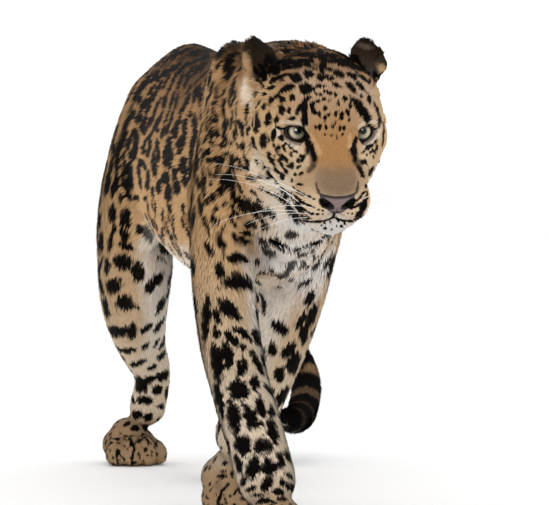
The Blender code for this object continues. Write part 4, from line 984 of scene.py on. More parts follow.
NECK_MARKS = [
    (229.5, 61.6, 7.1, 2.8, 120), (230.1, 74.6, 6.5, 3.5, 125), (232.5, 88.7, 8.8, 4.1, 105),
    (234.2, 98.1, 5.3, 1.9, 100), (223.6, 107.6, 6.5, 2.1, 92), (217.1, 95.8, 7.1, 1.4, 92),
    (212.4, 91.1, 5.9, 2.4, 100), (207.7, 81.6, 7.1, 2.4, 110), (203, 95.8, 5.9, 1.9, 95),
    (232.5, 117, 4.7, 2, 88), (237.2, 112.3, 5.9, 1.3, 88), (224.8, 125.3, 5.3, 3.1, 90),
    (216, 119.4, 4.7, 1.5, 90), (211.8, 120.6, 2.9, 1.5, 90), (207.7, 126.5, 4.1, 1.5, 90),
    (217.1, 133.5, 3.5, 2.1, 95), (211.8, 134.1, 4.1, 1.5, 95), (231.3, 126.5, 3.5, 1.8, 90),
    (237.2, 128.8, 5.3, 1.8, 80), (225.4, 138.3, 4.1, 2.9, 70), (234.8, 134.7, 2.9, 1.8, 80),
    (205.9, 140.6, 3.5, 1.8, 110), (211.8, 141.8, 2.9, 1.5, 80), (222.4, 146.5, 3.5, 1.9, 0),
    (207.7, 153.6, 2.9, 2.1, -30), (210.1, 160.1, 2.9, 2.1, 0), (219.5, 160.1, 4.1, 2.8, -10),
    (208.9, 172.5, 3.5, 1.8, 80), (213, 176, 2.9, 1.3, 70), (217.1, 171.3, 4.7, 1.8, 100),
    (210.1, 184.3, 2.1, 1.7, 0), (229.5, 180.7, 7.1, 5.3, 60), (232.5, 165.4, 3.5, 2.6, 60),
    (238.4, 167.8, 3.5, 1.8, 20), (196.5, 178.4, 4.7, 1.8, 80), (200, 184.3, 4.1, 2.6, 60),
    (204.2, 178.4, 4.7, 1.3, 80), (239.6, 159.5, 3.5, 1.7, 20), (201.8, 114.7, 4.7, 1.3, 95),
    (203, 126.5, 5.9, 1.3, 95), (208.9, 114.7, 4.7, 1.4, 95), (198.3, 126.5, 7.1, 1.4, 92),
    (205.3, 106.4, 4.7, 1.4, 100), (213.6, 107.6, 4.7, 1.4, 95), (203, 159.5, 7.1, 1.4, 92),
    (201.2, 144.2, 5.9, 1.4, 95), (227.8, 153.6, 3.5, 1.4, 0), (231.3, 144.2, 2.9, 1.7, 20),
]
CREST_MARKS = [
    (194.7, 54.5, 11.8, 5.7, -8), (208.9, 51.5, 10.6, 4.7, 12), (218.3, 58, 5.9, 5.4, 0),
    (181.7, 60.4, 8.3, 4.7, -35), (167.6, 66.3, 9.4, 4, -38), (155.8, 73.4, 9.4, 3.8, -48),
    (146.3, 84, 9.4, 3.5, -58), (138.1, 95.8, 8.3, 3.1, -64), (131.6, 109.9, 9.4, 2.6, -68),
    (125.7, 125.3, 9.4, 2.4, -72), (120.4, 140.6, 9.4, 2, -76), (116.3, 154.8, 9.4, 1.8, -80),
    (231.3, 47.4, 8.3, 4, -45), (224.2, 55.7, 5.9, 3.1, -60), (240.7, 42.7, 5.9, 2.8, -10),
]
# The crown and nape, between the ears
CROWN_MARKS = [
    (286.7, 51.7, 14, 2.1, -5), (298, 55.6, 15.4, 1.8, -3), (283.9, 61.2, 8.4, 2.5, -15),
    (303.6, 62, 9.8, 2.8, 5), (295.8, 67.4, 11.9, 2, -5), (277.2, 65.7, 8.4, 3.6, 100),
    (289.5, 62.6, 8.4, 2, -15), (320.4, 51.7, 6.2, 3.1, 35), (344.2, 62.6, 13.3, 2.5, 8),
    (359.7, 67.8, 11.9, 2.8, 25), (351.3, 58.4, 16.8, 2, 12), (365.3, 72, 5.6, 2.2, 30),
    (323.2, 60.1, 5.6, 1.7, 80), (267.1, 60.1, 7, 2.8, 110), (271.3, 72.7, 5.6, 2, -20),
    (309.2, 53.8, 8.4, 2, 10), (331.6, 55.2, 8.4, 1.7, 15), (281.1, 47.4, 11.2, 2, 5), (298, 46, 11.2, 1.7, 8),
    (312, 48.1, 7, 1.7, 15), (262.9, 74.1, 6.3, 2.8, 30), (260.8, 67.1, 5.6, 2.2, 60),
    (321.8, 67.1, 7, 2.2, 100), (329.5, 69.9, 4.2, 1.7, 0), (327.4, 78.3, 4.2, 1.7, 20),
    (320.4, 79, 3.5, 1.7, 60), (375.8, 76.9, 3.5, 2, 100), (369.5, 81.1, 3.5, 1.7, 110),
]
# Small marks under the eyes, beside the mouth and on the neck, then those of two paws
FINE_MARKS = [
    (251.7, 177.2, 6.5, 2.4, 15), (255.2, 191.9, 4.8, 2, 35), (262.2, 187.7, 4.2, 1.3, 25),
    (271.3, 191.9, 5.6, 1.3, 30), (246, 166.7, 5.6, 2.1, 30), (262.9, 176.5, 6.2, 1.5, 20),
    (241.8, 186.3, 4.8, 2.2, 40), (280.4, 195.5, 6.5, 1.7, 35), (233.4, 193.4, 4.2, 2.2, 50),
    (260.1, 199, 5.1, 1.4, 25), (281.8, 139.3, 3.1, 1.7, 40), (286.3, 143.8, 2.5, 1.4, 30),
    (290.9, 147.6, 2.5, 1.4, 30), (295.8, 151.5, 2.8, 1.4, 30), (284.6, 149.2, 2.8, 1.5, 70),
    (290.9, 154.8, 2.2, 1.4, 60), (279, 147.1, 2.8, 1.7, 70), (274.1, 145.7, 2.2, 1.4, 80),
    (300.8, 156.2, 2.2, 1.4, 60), (307.1, 152, 3.1, 2, 60), (375.8, 141.4, 2.8, 1.4, -60),
    (372.3, 145.4, 2.5, 1.3, -50), (367.4, 148.7, 3.1, 1.7, -30), (363.2, 152, 2.5, 1.4, -40),
    (370.9, 152, 2.5, 1.4, -50), (376.5, 148.5, 3.1, 1.3, -70), (292.3, 197.6, 9.8, 2.8, 60),
    (298, 208.8, 8.4, 2.8, 50), (303.6, 217.2, 7, 2, 25), (285.3, 191.9, 7, 2, 40), (290.9, 213, 7, 2, 35),
    (281.1, 184.9, 6.2, 1.7, 35), (274.1, 177.9, 6.2, 1.7, 35), (233.4, 159.7, 4.8, 2.8, 30),
    (229.9, 179.3, 5.6, 4.2, 60), (240.4, 201.8, 8.4, 4.2, 30), (260.1, 208.8, 12.6, 6.2, 22),
    (227.8, 121.8, 5.6, 2.8, 90), (235.5, 137.2, 5.6, 2.2, 80), (231.3, 155.5, 4.2, 2.2, 20),
    (240.4, 123.2, 5.6, 2.2, 80), (229.2, 103.6, 5.6, 3.4, 80), (233.4, 90.9, 8.4, 4.2, 70),
    (229.2, 74.1, 5.6, 3.4, 70), (239, 145.7, 3.4, 1.7, 80), (115.5, 438.9, 3.1, 0.9, 0),
    (125.2, 440.4, 2.6, 1, 35), (118.5, 443.2, 2, 0.8, 0), (130.3, 446.3, 2.4, 0.9, 65),
    (127.7, 450.6, 2.3, 1, 80), (121.6, 457, 1.4, 1, 0), (105.5, 452.7, 2.6, 1, 70), (144.8, 451.6, 1.1, 1, 0),
    (147.9, 445.3, 1.4, 1, 60), (151.7, 451.6, 2, 0.9, 60), (147.6, 455.5, 1, 0.7, 0),
    (143.5, 436.8, 3.1, 1.2, 10), (156.3, 443, 2, 1.4, 90), (130.3, 439.4, 2.8, 2, 60),
    (140, 440.4, 3.2, 1.4, 0), (130.8, 457.8, 2, 0.8, 80), (120.6, 433.8, 2, 0.8, 30),
    (147.1, 440.4, 2, 0.9, 0), (110.4, 441.9, 1.7, 0.8, 10), (109.9, 450.1, 2.2, 0.8, 85),
    (139.4, 456.7, 3.1, 1, 85), (143.3, 461.8, 1.5, 0.9, 80), (124.7, 446.5, 1.5, 0.7, 70),
    (102.2, 448.6, 2.6, 0.7, 110), (216.6, 434.9, 3, 0.7, -50), (214.8, 439.4, 2.2, 0.7, -50),
    (212.9, 445, 2.5, 0.7, -55), (221.5, 448, 1.9, 1.6, 0), (229.3, 452.1, 2.2, 1.6, 40),
    (215.1, 459.6, 4.5, 1, -60), (225.6, 463.3, 3, 1.9, -30), (222.6, 472.2, 4.5, 1.6, -5),
    (222.6, 476.7, 5.2, 1.9, 0), (231.6, 474.5, 3.7, 1.6, 80), (216.6, 482.7, 2.2, 0.9, -30),
    (209.9, 484.2, 1.9, 0.9, -60), (207.3, 497.6, 2.2, 1, 60), (223.7, 496.1, 1.5, 0.9, 80),
    (225.6, 501.3, 3, 1, 70), (230.1, 496.9, 1.3, 1.3, 0), (235.3, 492.4, 3.7, 1, -60),
    (211.4, 488.7, 3, 0.7, -60), (209.9, 467.8, 3.3, 0.9, -65), (216.6, 494.6, 1.8, 0.7, 60),
]
# Broad soft patches, with their colour
PATCHES = [
    (245.5, 68.5, 15.5, 6, 73, "tan"), (246, 92.3, 18.2, 10.1, 80, "cream"), (382.1, 71.3, 8.4, 4.2, 80, "tan"),
    (381.4, 86.7, 8.4, 3.4, 70, "cream"), (363.9, 45.8, 8.4, 3.6, 8, "ear_patch"),
    (271.3, 46, 11.2, 3.6, 22, "ear_patch"), (283.9, 44.6, 32.3, 8.1, 10, "crest"),
    (344.2, 56.6, 29.5, 5.1, 14, "crest"), (233.4, 46, 12.6, 8.4, -35, "crest"),
    (253.1, 166.7, 9.8, 5.6, 40, "cream"), (268.5, 183.5, 11.2, 7, 35, "cream"),
    (283.9, 206, 12.6, 9.8, 50, "cream"), (312, 145.7, 8.4, 4.8, 60, "tan"), (373.7, 83.9, 8.4, 4.2, 80, "tan"),
]
# Lines, as points of the picture with the half width at each end and the colour. The soft greyish bands along the
# black lines from the eyes down the muzzle are partly their soft edges and partly painted shade
FACE_LINES = [
    ([(277.6, 127.8), (285.5, 128.2), (292.0, 126.8)], 1.9, 1.6, "black"),
    ([(292.0, 126.6), (298.0, 125.6), (303.5, 128.4), (307.0, 134.0)], 1.2, 1.6, "black"),
    ([(306.0, 134.5), (307.2, 140.0), (309.8, 147.0)], 1.8, 4.2, "black"),
    ([(308.0, 143.0), (311.6, 151.5), (314.6, 159.5)], 4.2, 5.0, "grey"),
    ([(309.8, 146.0), (313.0, 153.0), (315.0, 160.0)], 3.4, 2.4, "black"),
    ([(314.8, 158.5), (313.0, 165.5), (308.4, 171.5)], 5.0, 2.6, "grey"),
    ([(356.0, 137.5), (353.8, 144.0), (353.6, 152.0)], 1.8, 3.4, "black"),
    ([(353.6, 150.0), (355.4, 161.0), (359.6, 169.0), (363.2, 174.8)], 4.4, 2.4, "grey"),
    ([(353.8, 151.0), (355.2, 160.5)], 2.6, 1.6, "black"),
    ([(368.0, 124.8), (371.6, 127.4), (375.8, 128.2)], 1.6, 1.3, "black"),
    ([(352.5, 99.0), (358.5, 108.0), (366.0, 117.5)], 2.6, 4.2, "black"),
    ([(305.6, 107.5), (304.8, 115.0), (306.6, 123.5)], 2.6, 2.2, "black"),
    ([(310.8, 134.0), (314.0, 140.0), (317.6, 147.0), (319.0, 153.0)], 2.6, 3.6, "tan"),
    ([(350.8, 134.5), (349.6, 141.0), (349.6, 148.0)], 2.2, 2.8, "tan"),
    ([(296.5, 213.0), (303.0, 215.5), (309.2, 217.0)], 1.2, 1.0, "lip"),
]
# Lines between the toes; a greyish one under them, partly the dark pads and partly painted contact shadow; and two
# greyish ones down the sides of the bridge of the nose, painted shade
PAW_LINES = [
    ([(129.8, 438.4), (132.8, 444.0), (134.3, 448.6), (132.3, 455.7), (131.8, 465.9)], 1.5, 1.2, "black"),
    ([(117.5, 450.1), (116.2, 456.7), (118.3, 462.3), (117.5, 465.9)], 1.7, 0.9, "black"),
    ([(135.9, 441.4), (133.6, 447.6)], 0.8, 0.8, "black"),
    ([(107.3, 466.2), (127.7, 467.2), (150.7, 464.6)], 1.0, 1.0, "grey"),
    ([(228.6, 484.2), (221.9, 491.6), (218.1, 504.3)], 1.4, 2.2, "black"),
    ([(316.2, 182.1), (316.8, 187.7), (319.0, 192.9)], 1.0, 2.0, "grey"),
    ([(358.3, 182.1), (357.9, 187.7), (355.9, 192.9)], 1.0, 2.0, "grey"),
]
PHILTRUM_LINE = [(334.2, 211.6), (333.9, 217.0)]
MOUTH_LINES = [
    [(333.7, 216.9), (328.8, 219.3), (323.2, 220.8), (316.2, 221.4), (309.2, 221.4), (303.6, 220.6), (298.0, 217.5),
     (293.0, 213.7)],
    [(333.7, 216.9), (338.9, 219.3), (344.2, 220.3), (349.9, 221.1), (354.8, 219.7), (359.0, 217.2), (362.5, 213.0)],
]
print("marks read:", sum(map(len, (FACE_MARKS, BODY_MARKS, HIND_MARKS, FLANK_MARKS, NECK_MARKS, CREST_MARKS,
                                  CROWN_MARKS, FINE_MARKS))))

# %% [markdown]
# An image laid over the model would smear on its sides. So a ray from the camera finds the point of
# the skin under each mark, and the oval is laid on the skin there as a real patch, and stays there
# seen from any side. The line of the mouth is also pressed into the skin.

# %% Marks laid on the skin
FOCAL = PHOTO_SIZE[0] * LENS / SENSOR
MOST_STRETCH = 2.2
FLANK_STRETCH = 5.0
# The marks of each group are enlarged until they look as large as in the picture
FACE_GROWTH = 1.32
CROWN_GROWTH = 1.22
BODY_GROWTH = 1.16
NECK_GROWTH = 1.6
FLANK_GROWTH = 1.55
FINE_GROWTH = 1.1
LINE_STEP = 0.9
LEAST_SLOPE = 0.05
STEP_LENGTH = 1.1


skin_trees = [tree_of(skin_head), tree_of(skin_body)]


def sight(u, v):
    """The direction in which the camera sees a pixel of the picture."""
    local = Vector(((u - PHOTO_SIZE[0] / 2) / FOCAL, (PHOTO_SIZE[1] / 2 - v) / FOCAL, -1))
    return (camera_matrix.to_3x3() @ local).normalized()


def skin_at(u, v):
    """Where that line of sight meets the skin, and which way the skin faces there."""
    hits = []
    for tree in skin_trees:
        place, normal, _, distance = tree.ray_cast(camera.location, sight(u, v))
        if place is not None:
            hits.append((distance, place, normal))
    return min(hits, key=lambda hit: hit[0])[1:] if hits else None


def on_plane(u, v, place, normal):
    """Where that line of sight meets the plane of the skin at a place."""
    way = sight(u, v)
    slope = way.dot(normal)
    if abs(slope) < LEAST_SLOPE:
        slope = -LEAST_SLOPE
    return camera.location + way * ((place - camera.location).dot(normal) / slope)


def laid_on_skin(u, v, half_length, half_width, turn, most_stretch=MOST_STRETCH):
    """The oval of the picture as a patch on the skin: its place, two half axes and the way it faces."""
    hit = skin_at(u, v)
    if hit is None:
        return None
    place, normal = hit
    scale = (place - camera.location).length / FOCAL
    c, s = math.cos(math.radians(turn)), math.sin(math.radians(turn))
    axes = []
    for reach, du, dv in ((half_length, c, s), (half_width, -s, c)):
        axis = on_plane(u + reach * du, v + reach * dv, place, normal) - place
        most = most_stretch * reach * scale
        axes.append(axis * (most / axis.length) if axis.length > most else axis)
    return place, axes[0], axes[1], normal


def in_oval(points, place, long_axis, wide_axis):
    """How far out each point is in an oval laid on the skin, 1 on its edge."""
    a, b = np.array(long_axis), np.array(wide_axis)
    offset = points - np.array(place)
    aa, ab, bb = a @ a, a @ b, b @ b
    spread = max(aa * bb - ab * ab, 1e-16)
    pa, pb = offset @ a, offset @ b
    return np.hypot((bb * pa - ab * pb) / spread, (aa * pb - ab * pa) / spread)


def along_line(points, start_width, end_width):
    """Steps along a line of the picture: place, half width and direction."""
    count = len(points) - 1
    for number, ((u0, v0), (u1, v1)) in enumerate(zip(points, points[1:])):
        steps = max(1, round(math.hypot(u1 - u0, v1 - v0) / LINE_STEP))
        for step in range(steps):
            t = (step + 0.5) / steps
            width = start_width + (end_width - start_width) * (number + t) / count
            yield u0 + (u1 - u0) * t, v0 + (v1 - v0) * t, width, math.degrees(math.atan2(v1 - v0, u1 - u0))


# How far the bare nose is moved down and the skin behind it is pressed in, and its outline: heights
# and half widths
NOSE_DOWN = 0.0030
NOSE_UNDER = 0.0046
UNDER_UP = (-0.049, -0.043, -0.0325, -0.0245)
UNDER_HALF = (0.0015, 0.0085, 0.0185, 0.0195)
NOSE_AHEAD_OF = 0.080


def under_the_nose(points):
    """One where the bare nose will cover the skin, a little inside its outline."""
    sideways, forward, up = head_coordinates(points)
    up = up + NOSE_DOWN
    inside = smooth_step(0.0, 0.0025, np.interp(up, UNDER_UP, UNDER_HALF) - np.abs(sideways))
    return inside * smooth_step(-0.050, -0.047, up) * smooth_step(-0.0260, -0.0285, up) * (forward > NOSE_AHEAD_OF)


# The line of the mouth is pressed into the skin first, so that the lips part there, and then the skin
# behind the bare nose
MOUTH_DEPTH = 0.0034
MOUTH_REACH = 0.0019
# Half widths of the dark lines, at their start and end, in pixels
PHILTRUM_WIDTHS = (1.7, 1.5)
MOUTH_WIDTHS = (1.3, 1.8)
mouth_places = []
for line in [PHILTRUM_LINE] + MOUTH_LINES:
    for u, v, _, _ in along_line(line, 1.0, 1.0):
        hit = skin_at(u, v)
        if hit is not None:
            mouth_places.append(np.array(hit[0]))
points, normals = points_of(skin_head)
gap = np.full(len(points), 1.0)
for place in mouth_places:
    gap = np.minimum(gap, length_of(points - place))
points = points - normals * (MOUTH_DEPTH * np.exp(-(gap / MOUTH_REACH) ** 2))[:, None]
set_points(skin_head, points - normals * (NOSE_UNDER * under_the_nose(points))[:, None])
skin_trees = [tree_of(skin_head), tree_of(skin_body)]
print("mouth pressed in along", len(mouth_places), "places")

# Each patch: its colour, place, two half axes and the way it faces
SPOTS = []


def lay(colour, *oval):
    """Lays an oval of the picture on the skin in this colour, and tells whether there is skin under it."""
    patch = laid_on_skin(*oval)
    if patch is not None:
        SPOTS.append((colour,) + patch)
    return patch is not None


missed = 0
for marks, growth, most in ((FACE_MARKS, FACE_GROWTH, MOST_STRETCH), (CROWN_MARKS, CROWN_GROWTH, MOST_STRETCH),
                            (FINE_MARKS, FINE_GROWTH, MOST_STRETCH), (BODY_MARKS, BODY_GROWTH, MOST_STRETCH),
                            (HIND_MARKS, BODY_GROWTH, MOST_STRETCH), (NECK_MARKS, NECK_GROWTH, MOST_STRETCH),
                            (FLANK_MARKS, FLANK_GROWTH, FLANK_STRETCH)):
    for u, v, half_length, half_width, turn in marks:
        missed += not lay("black", u, v, half_length * growth, half_width * growth, turn, most)
for mark in CREST_MARKS:
    lay("crest", *mark, FLANK_STRETCH)
for *mark, colour in PATCHES:
    lay(colour, *mark)
lines = FACE_LINES + PAW_LINES + [(PHILTRUM_LINE, *PHILTRUM_WIDTHS, "lip")]
lines += [(line, *MOUTH_WIDTHS, "lip") for line in MOUTH_LINES]
for line, start_width, end_width, colour in lines:
    for u, v, width, turn in along_line(line, start_width, end_width):
        lay(colour, u, v, width * STEP_LENGTH, width, turn)
print("marks laid on the skin:", len(SPOTS), "- beside it:", missed)

# %% [markdown]
# Where nothing could be read, the marks are strewn: at every place of the skin that is still free,
# in an order shuffled with a fixed seed, a mark is set if no other is too near. What it looks like
# depends on the part: rosettes with a brown heart on the flanks, long blots on the back, solid spots
# on the belly, shoulders and legs, small ones on the paws, head and neck, and rings on the tail.

# %% Marks strewn over the rest
SEED = 41
rng = np.random.default_rng(SEED)
skin_points, skin_normals = zip(*[points_of(piece) for piece in (skin_head, skin_body)])
all_points = np.concatenate(skin_points)
all_normals = np.concatenate(skin_normals)
all_shares, all_ways, all_along = body_map(all_points)
all_lie = lie_of_coat(all_points, all_normals, all_shares, all_ways)
PARTS = list(all_shares)
all_part = np.argmax(np.stack([all_shares[part] for part in PARTS]), axis=0)
all_ear = ear_share(all_points)
SOFT_LAYERS = ("tan", "cream", "crest", "ear_patch", "grey")
# Kinds of mark: half length, half width, distance to the next one
KINDS = {
    "rosette": (0.0200, 0.0180, 0.0205),
    "blot": (0.0185, 0.0085, 0.0120),
    "belly": (0.0135, 0.0100, 0.0240),
    "neck": (0.0095, 0.0070, 0.0125),
    "shoulder": (0.0155, 0.0120, 0.0205),
    "leg": (0.0135, 0.0100, 0.0175),
    "shank": (0.0105, 0.0072, 0.0135),
    "paw": (0.0046, 0.0034, 0.0085),
    "face": (0.0062, 0.0046, 0.0122),
    "tail": (0.0125, 0.0100, 0.0170),
}
# How far along a leg the marks of the paw, the shank and the leg start, and those of a hind leg's
# shoulder kind, which has rosettes above them
PAW_FROM, SHANK_FROM, LEG_FROM, HAUNCH_FROM = 0.90, 0.62, 0.34, 0.18
EAR_FROM = 0.4
TAIL_RINGS_FROM = 0.42
BACK_FACES_UP = 0.52
NECK_FACES_UP = 0.05
# The parts of the picture in which every mark was read, as ranges of u and v
READ_WINDOWS = {"head": (230, 400, 30, 245), "back": (85, 270, 25, 197), "front": (195, 332, 180, 505),
                "hind": (95, 180, 226, 466)}
HIDDEN_BY = 0.004
SEEN_ASKEW = 0.40
BELLY_FACES = -0.55
SHOULDER_ENDS = 0.10
MOUTH_AHEAD_OF = 0.050
MOUTH_ABOVE = -0.085


def was_read(place, normal, least_facing):
    """True where the camera sees this place of the skin well, inside a part of the picture that was read."""
    if normal.dot((camera.location - place).normalized()) < least_facing:
        return False
    local = camera_matrix.inverted() @ place
    u = PHOTO_SIZE[0] / 2 + FOCAL * local.x / -local.z
    v = PHOTO_SIZE[1] / 2 - FOCAL * local.y / -local.z
    if not any(low_u < u < high_u and low_v < v < high_v for low_u, high_u, low_v, high_v in READ_WINDOWS.values()):
        return False
    hit = skin_at(u, v)
    return hit is not None and (hit[0] - camera.location).length > (place - camera.location).length - HIDDEN_BY


def kind_at(index):
    """The kind of mark that may be strewn at this point, or None."""
    part = PARTS[all_part[index]]
    normal = all_normals[index]
    if part == "trunk" and normal[2] > BACK_FACES_UP:
        return "blot"
    if part == "neck" and normal[2] > NECK_FACES_UP:
        return "neck"
    least_facing = 0.0 if part == "head" else SEEN_ASKEW
    if all_ear[index] > EAR_FROM or was_read(Vector(all_points[index]), Vector(normal), least_facing):
        return None
    if part == "head":
        _, forward, up = head_coordinates(all_points[[index]])
        return None if forward[0] > MOUTH_AHEAD_OF and up[0] > MOUTH_ABOVE else "face"
    if part == "tail":
        return "tail" if all_along["tail"][index] < TAIL_RINGS_FROM else None
    if part == "neck":
        return "neck"
    if part == "trunk":
        if normal[2] < BELLY_FACES:
            return "belly"
        return "shoulder" if all_points[index][1] - WHERE.y < SHOULDER_ENDS else "rosette"
    height = all_along[part][index]
    for kind, least in (("paw", PAW_FROM), ("shank", SHANK_FROM), ("leg", LEG_FROM)):
        if height > least:
            return kind
    return "shoulder" if part.startswith("fore") or height > HAUNCH_FROM else "rosette"


def tree_of_points(points):
    """A search tree of these points, by their numbers."""
    tree = KDTree(len(points))
    for index, point in enumerate(points):
        tree.insert(point, index)
    tree.balance()
    return tree


print("kinds of mark:", ", ".join(KINDS))

# %% [markdown]
# The points are gone through in a shuffled order. The ones near a mark are taken, so that marks keep
# their distance, and each mark is turned along the lie of the hair.

# %% Marks strewn
all_tree = tree_of_points(all_points)
taken = np.zeros(len(all_points), bool)
FREE_ROUND = 1.35
for colour, place, long_axis, wide_axis, _ in SPOTS:
    if colour in SOFT_LAYERS and colour != "cream":
        continue
    reach = FREE_ROUND * max(long_axis.length, wide_axis.length)
    found = np.array([index for _, index, _ in all_tree.find_range(place, reach)], int)
    taken[found[in_oval(all_points[found], place, long_axis, wide_axis) < FREE_ROUND]] = True
ROOM_LEFT = 0.9
SECOND_PART = 0.7
MARK_TURN = 0.35
MARK_SIZES = (0.85, 1.15)
WHITE_UNDER_TAIL = 0.5
ROSETTE_SHARE = 0.80
strewn = 0
for index in rng.permutation(len(all_points)):
    if taken[index]:
        continue
    kind = kind_at(index)
    if kind is None:
        continue
    half_length, half_width, distance = KINDS[kind]
    near = all_tree.find_range(all_points[index], distance)
    if kind != "face" and any(taken[other] and gap < half_width * ROOM_LEFT for _, other, gap in near):
        taken[index] = True
        continue
    for _, other, _ in near:
        taken[other] = True
    place = Vector(all_points[index])
    normal = Vector(all_normals[index])
    way = Vector(all_lie[index])
    across = normal.cross(way)
    if kind == "tail" and tail_underside(all_points[[index]], all_normals[[index]],
                                         {"tail": all_along["tail"][[index]]})[0] > WHITE_UNDER_TAIL:
        continue
    turn = rng.normal(0, MARK_TURN)
    c, s = math.cos(turn), math.sin(turn)
    way, across = way * c + across * s, across * c - way * s
    size = rng.uniform(*MARK_SIZES)
    strewn += 1
    if kind != "rosette":
        SPOTS.append(("black", place, way * half_length * size, across * half_width * size, normal))
        if kind in ("shoulder", "leg") and rng.random() < SECOND_PART:
            side = way * rng.uniform(-0.7, 0.7) * half_length + across * rng.choice((-1, 1)) * half_width * 0.8
            SPOTS.append(("black", place + side, way * half_length * 0.7, across * half_width * 0.6, normal))
        continue
    # A rosette: a brown heart, and four or five dark pieces in a ring round it
    SPOTS.append(("brown", place, way * half_length * ROSETTE_SHARE * size,
                  across * half_width * ROSETTE_SHARE * size, normal))
    count = rng.integers(4, 6)
    start = rng.uniform(0, 2 * math.pi)
    for step in range(count):
        angle = start + (step + rng.uniform(-0.18, 0.18)) * 2 * math.pi / count
        out = way * math.cos(angle) * half_length + across * math.sin(angle) * half_width
        along_ring = across * math.cos(angle) * half_width - way * math.sin(angle) * half_length
        ring = out * ROSETTE_SHARE * size
        arc = 2.0 / count * rng.uniform(0.95, 1.30)
        SPOTS.append(("black", place + ring, along_ring * arc * size, out * rng.uniform(0.32, 0.44) * size, normal))
print("marks strewn:", strewn, "- patches in all:", len(SPOTS))

# %% [markdown]
# A patch colours the points that lie in its oval. Its edge is made uneven with a noise of two sizes,
# so that no mark looks stamped. Points that face another way, such as those on the far side
# of an ear or leg, are left out.

# %% Painting points with the marks
EDGE = (0.84, 1.12)
RAGGED = 0.17
SOFT_EDGE = (0.35, 1.25)
RINGS = 7
PATCH_REACH = 1.35
FACES_ALIKE = 0.15
RING_MIDDLE = 0.42
# The layers of paint from the lowest up: how strongly each covers
LAYERS = {"brown": 0.60, "tan": 0.80, "cream": 0.90, "crest": 0.80, "ear_patch": 0.85, "grey": 0.85, "black": 1.0,
          "lip": 1.0}
NOSTRIL_PLACE = (0.0130, -0.0366)
NOSTRIL_SIZE = (0.0104, 0.0058)
NOSTRIL_SLANT = math.radians(32)


def from_nostril(sideways, up):
    """How far out from the middle of a nostril, 1 on its edge."""
    c, s = math.cos(NOSTRIL_SLANT), math.sin(NOSTRIL_SLANT)
    x, z = np.abs(sideways) - NOSTRIL_PLACE[0], up + NOSE_DOWN - NOSTRIL_PLACE[1]
    return np.hypot((x * c + z * s) / NOSTRIL_SIZE[0], (z * c - x * s) / NOSTRIL_SIZE[1])


def painted(points, normals, shares, along):
    """The coat's colour at each point: the ground, the brown hearts, the pale lines, the dark marks, soft greyish
    bands that are partly painted shade, and painted shade under the sides of the bare nose and in its nostrils.
    """
    tree = tree_of_points(points)
    layers = {name: np.zeros(len(points)) for name in LAYERS}
    ragged = RAGGED * (waves(points, 620.0, 5) + 0.6 * waves(points, 1500.0, 6))
    for colour, place, long_axis, wide_axis, normal in SPOTS:
        found = tree.find_range(place, PATCH_REACH * max(long_axis.length, wide_axis.length))
        if not found:
            continue
        index = np.array([number for _, number, _ in found])
        edge = in_oval(points[index], place, long_axis, wide_axis) + ragged[index]
        value = 1 - smooth_step(*(SOFT_EDGE if colour in SOFT_LAYERS else EDGE), edge)
        value *= normals[index] @ np.array(normal) > FACES_ALIKE
        layers[colour][index] = np.maximum(layers[colour][index], value)
    colours = ground_colour(points, normals, shares, along)
    # The rings of the tail, open on its white side but for its tip
    way = along["tail"]
    turns = (way - TAIL_RINGS_FROM) / (1 - TAIL_RINGS_FROM) * RINGS + 0.08 * waves(points, 160.0, 21)
    dark_ring = smooth_step(0.40, 0.32, np.abs(turns % 1 - RING_MIDDLE))
    dark_ring = dark_ring * smooth_step(TAIL_RINGS_FROM - 0.01, TAIL_RINGS_FROM + 0.02, way)
    upper = 1 - tail_underside(points, normals, along) * smooth_step(0.97, 0.80, way)
    layers["black"] = np.maximum(layers["black"], dark_ring * upper * (shares["tail"] > 0.5))
    # The dark rims of the eyes, wider above
    out, above, _ = round_the_eyes(points)
    rim = smooth_step(1.38, 1.22, out) * smooth_step(-0.20, 0.20, above) + smooth_step(1.20, 1.08, out)
    layers["black"] = np.maximum(layers["black"], np.clip(rim, 0, 1))
    fade = 1.0 - 0.25 * smooth_step(0.25, 0.9, -normals[:, 2]) * shares["trunk"]
    layers["black"] = layers["black"] * fade
    for name, strength in LAYERS.items():
        colours = mix(colours, COLOURS[name], layers[name] * strength)
    # Painted shade: black on the skin under the sides of the bare nose, and within the outlines of its nostrils,
    # which are pressed in only a little
    sideways, forward, up = head_coordinates(points)
    shade_under_nose = under_the_nose(points) * smooth_step(0.0040, 0.0065, np.abs(sideways))
    shade_under_nose = shade_under_nose * smooth_step(-0.0505, -0.0475, up)
    nostril_shade = smooth_step(1.10, 0.96, from_nostril(sideways, up)) * (forward > NOSE_AHEAD_OF)
    return mix(colours, COLOURS["black"], np.maximum(shade_under_nose, nostril_shade))


print("layers of paint:", ", ".join(LAYERS))

# %% [markdown]
# The skin is given those colours as an attribute of its points, which the material reads. Once the
# coat covers it, the dense mesh is thinned with a Decimate modifier: the forms stay, and so do the
# colours, which ride on the points.

# %% Colour on the skins
COLOUR_NAME = "coat_colour"
SKIN_TRIANGLES = {"skin_head": 150000, "skin_body": 170000}
HOLLOW_STEPS = 26
HOLLOW_DEPTH = 0.0011
# How much the deepest creases are darkened: painted shade
CREASE_PAINTED_SHADE = 0.40
SKIN_SHADE = 0.72


def give_colours(piece, colours):
    """Sets a colour on each point of a piece."""
    attribute = piece.data.color_attributes.new(COLOUR_NAME, "FLOAT_COLOR", "POINT")
    rgba = np.ones((len(colours), 4))
    rgba[:, :3] = np.clip(colours, 0, 1)
    attribute.data.foreach_set("color", rgba.ravel())


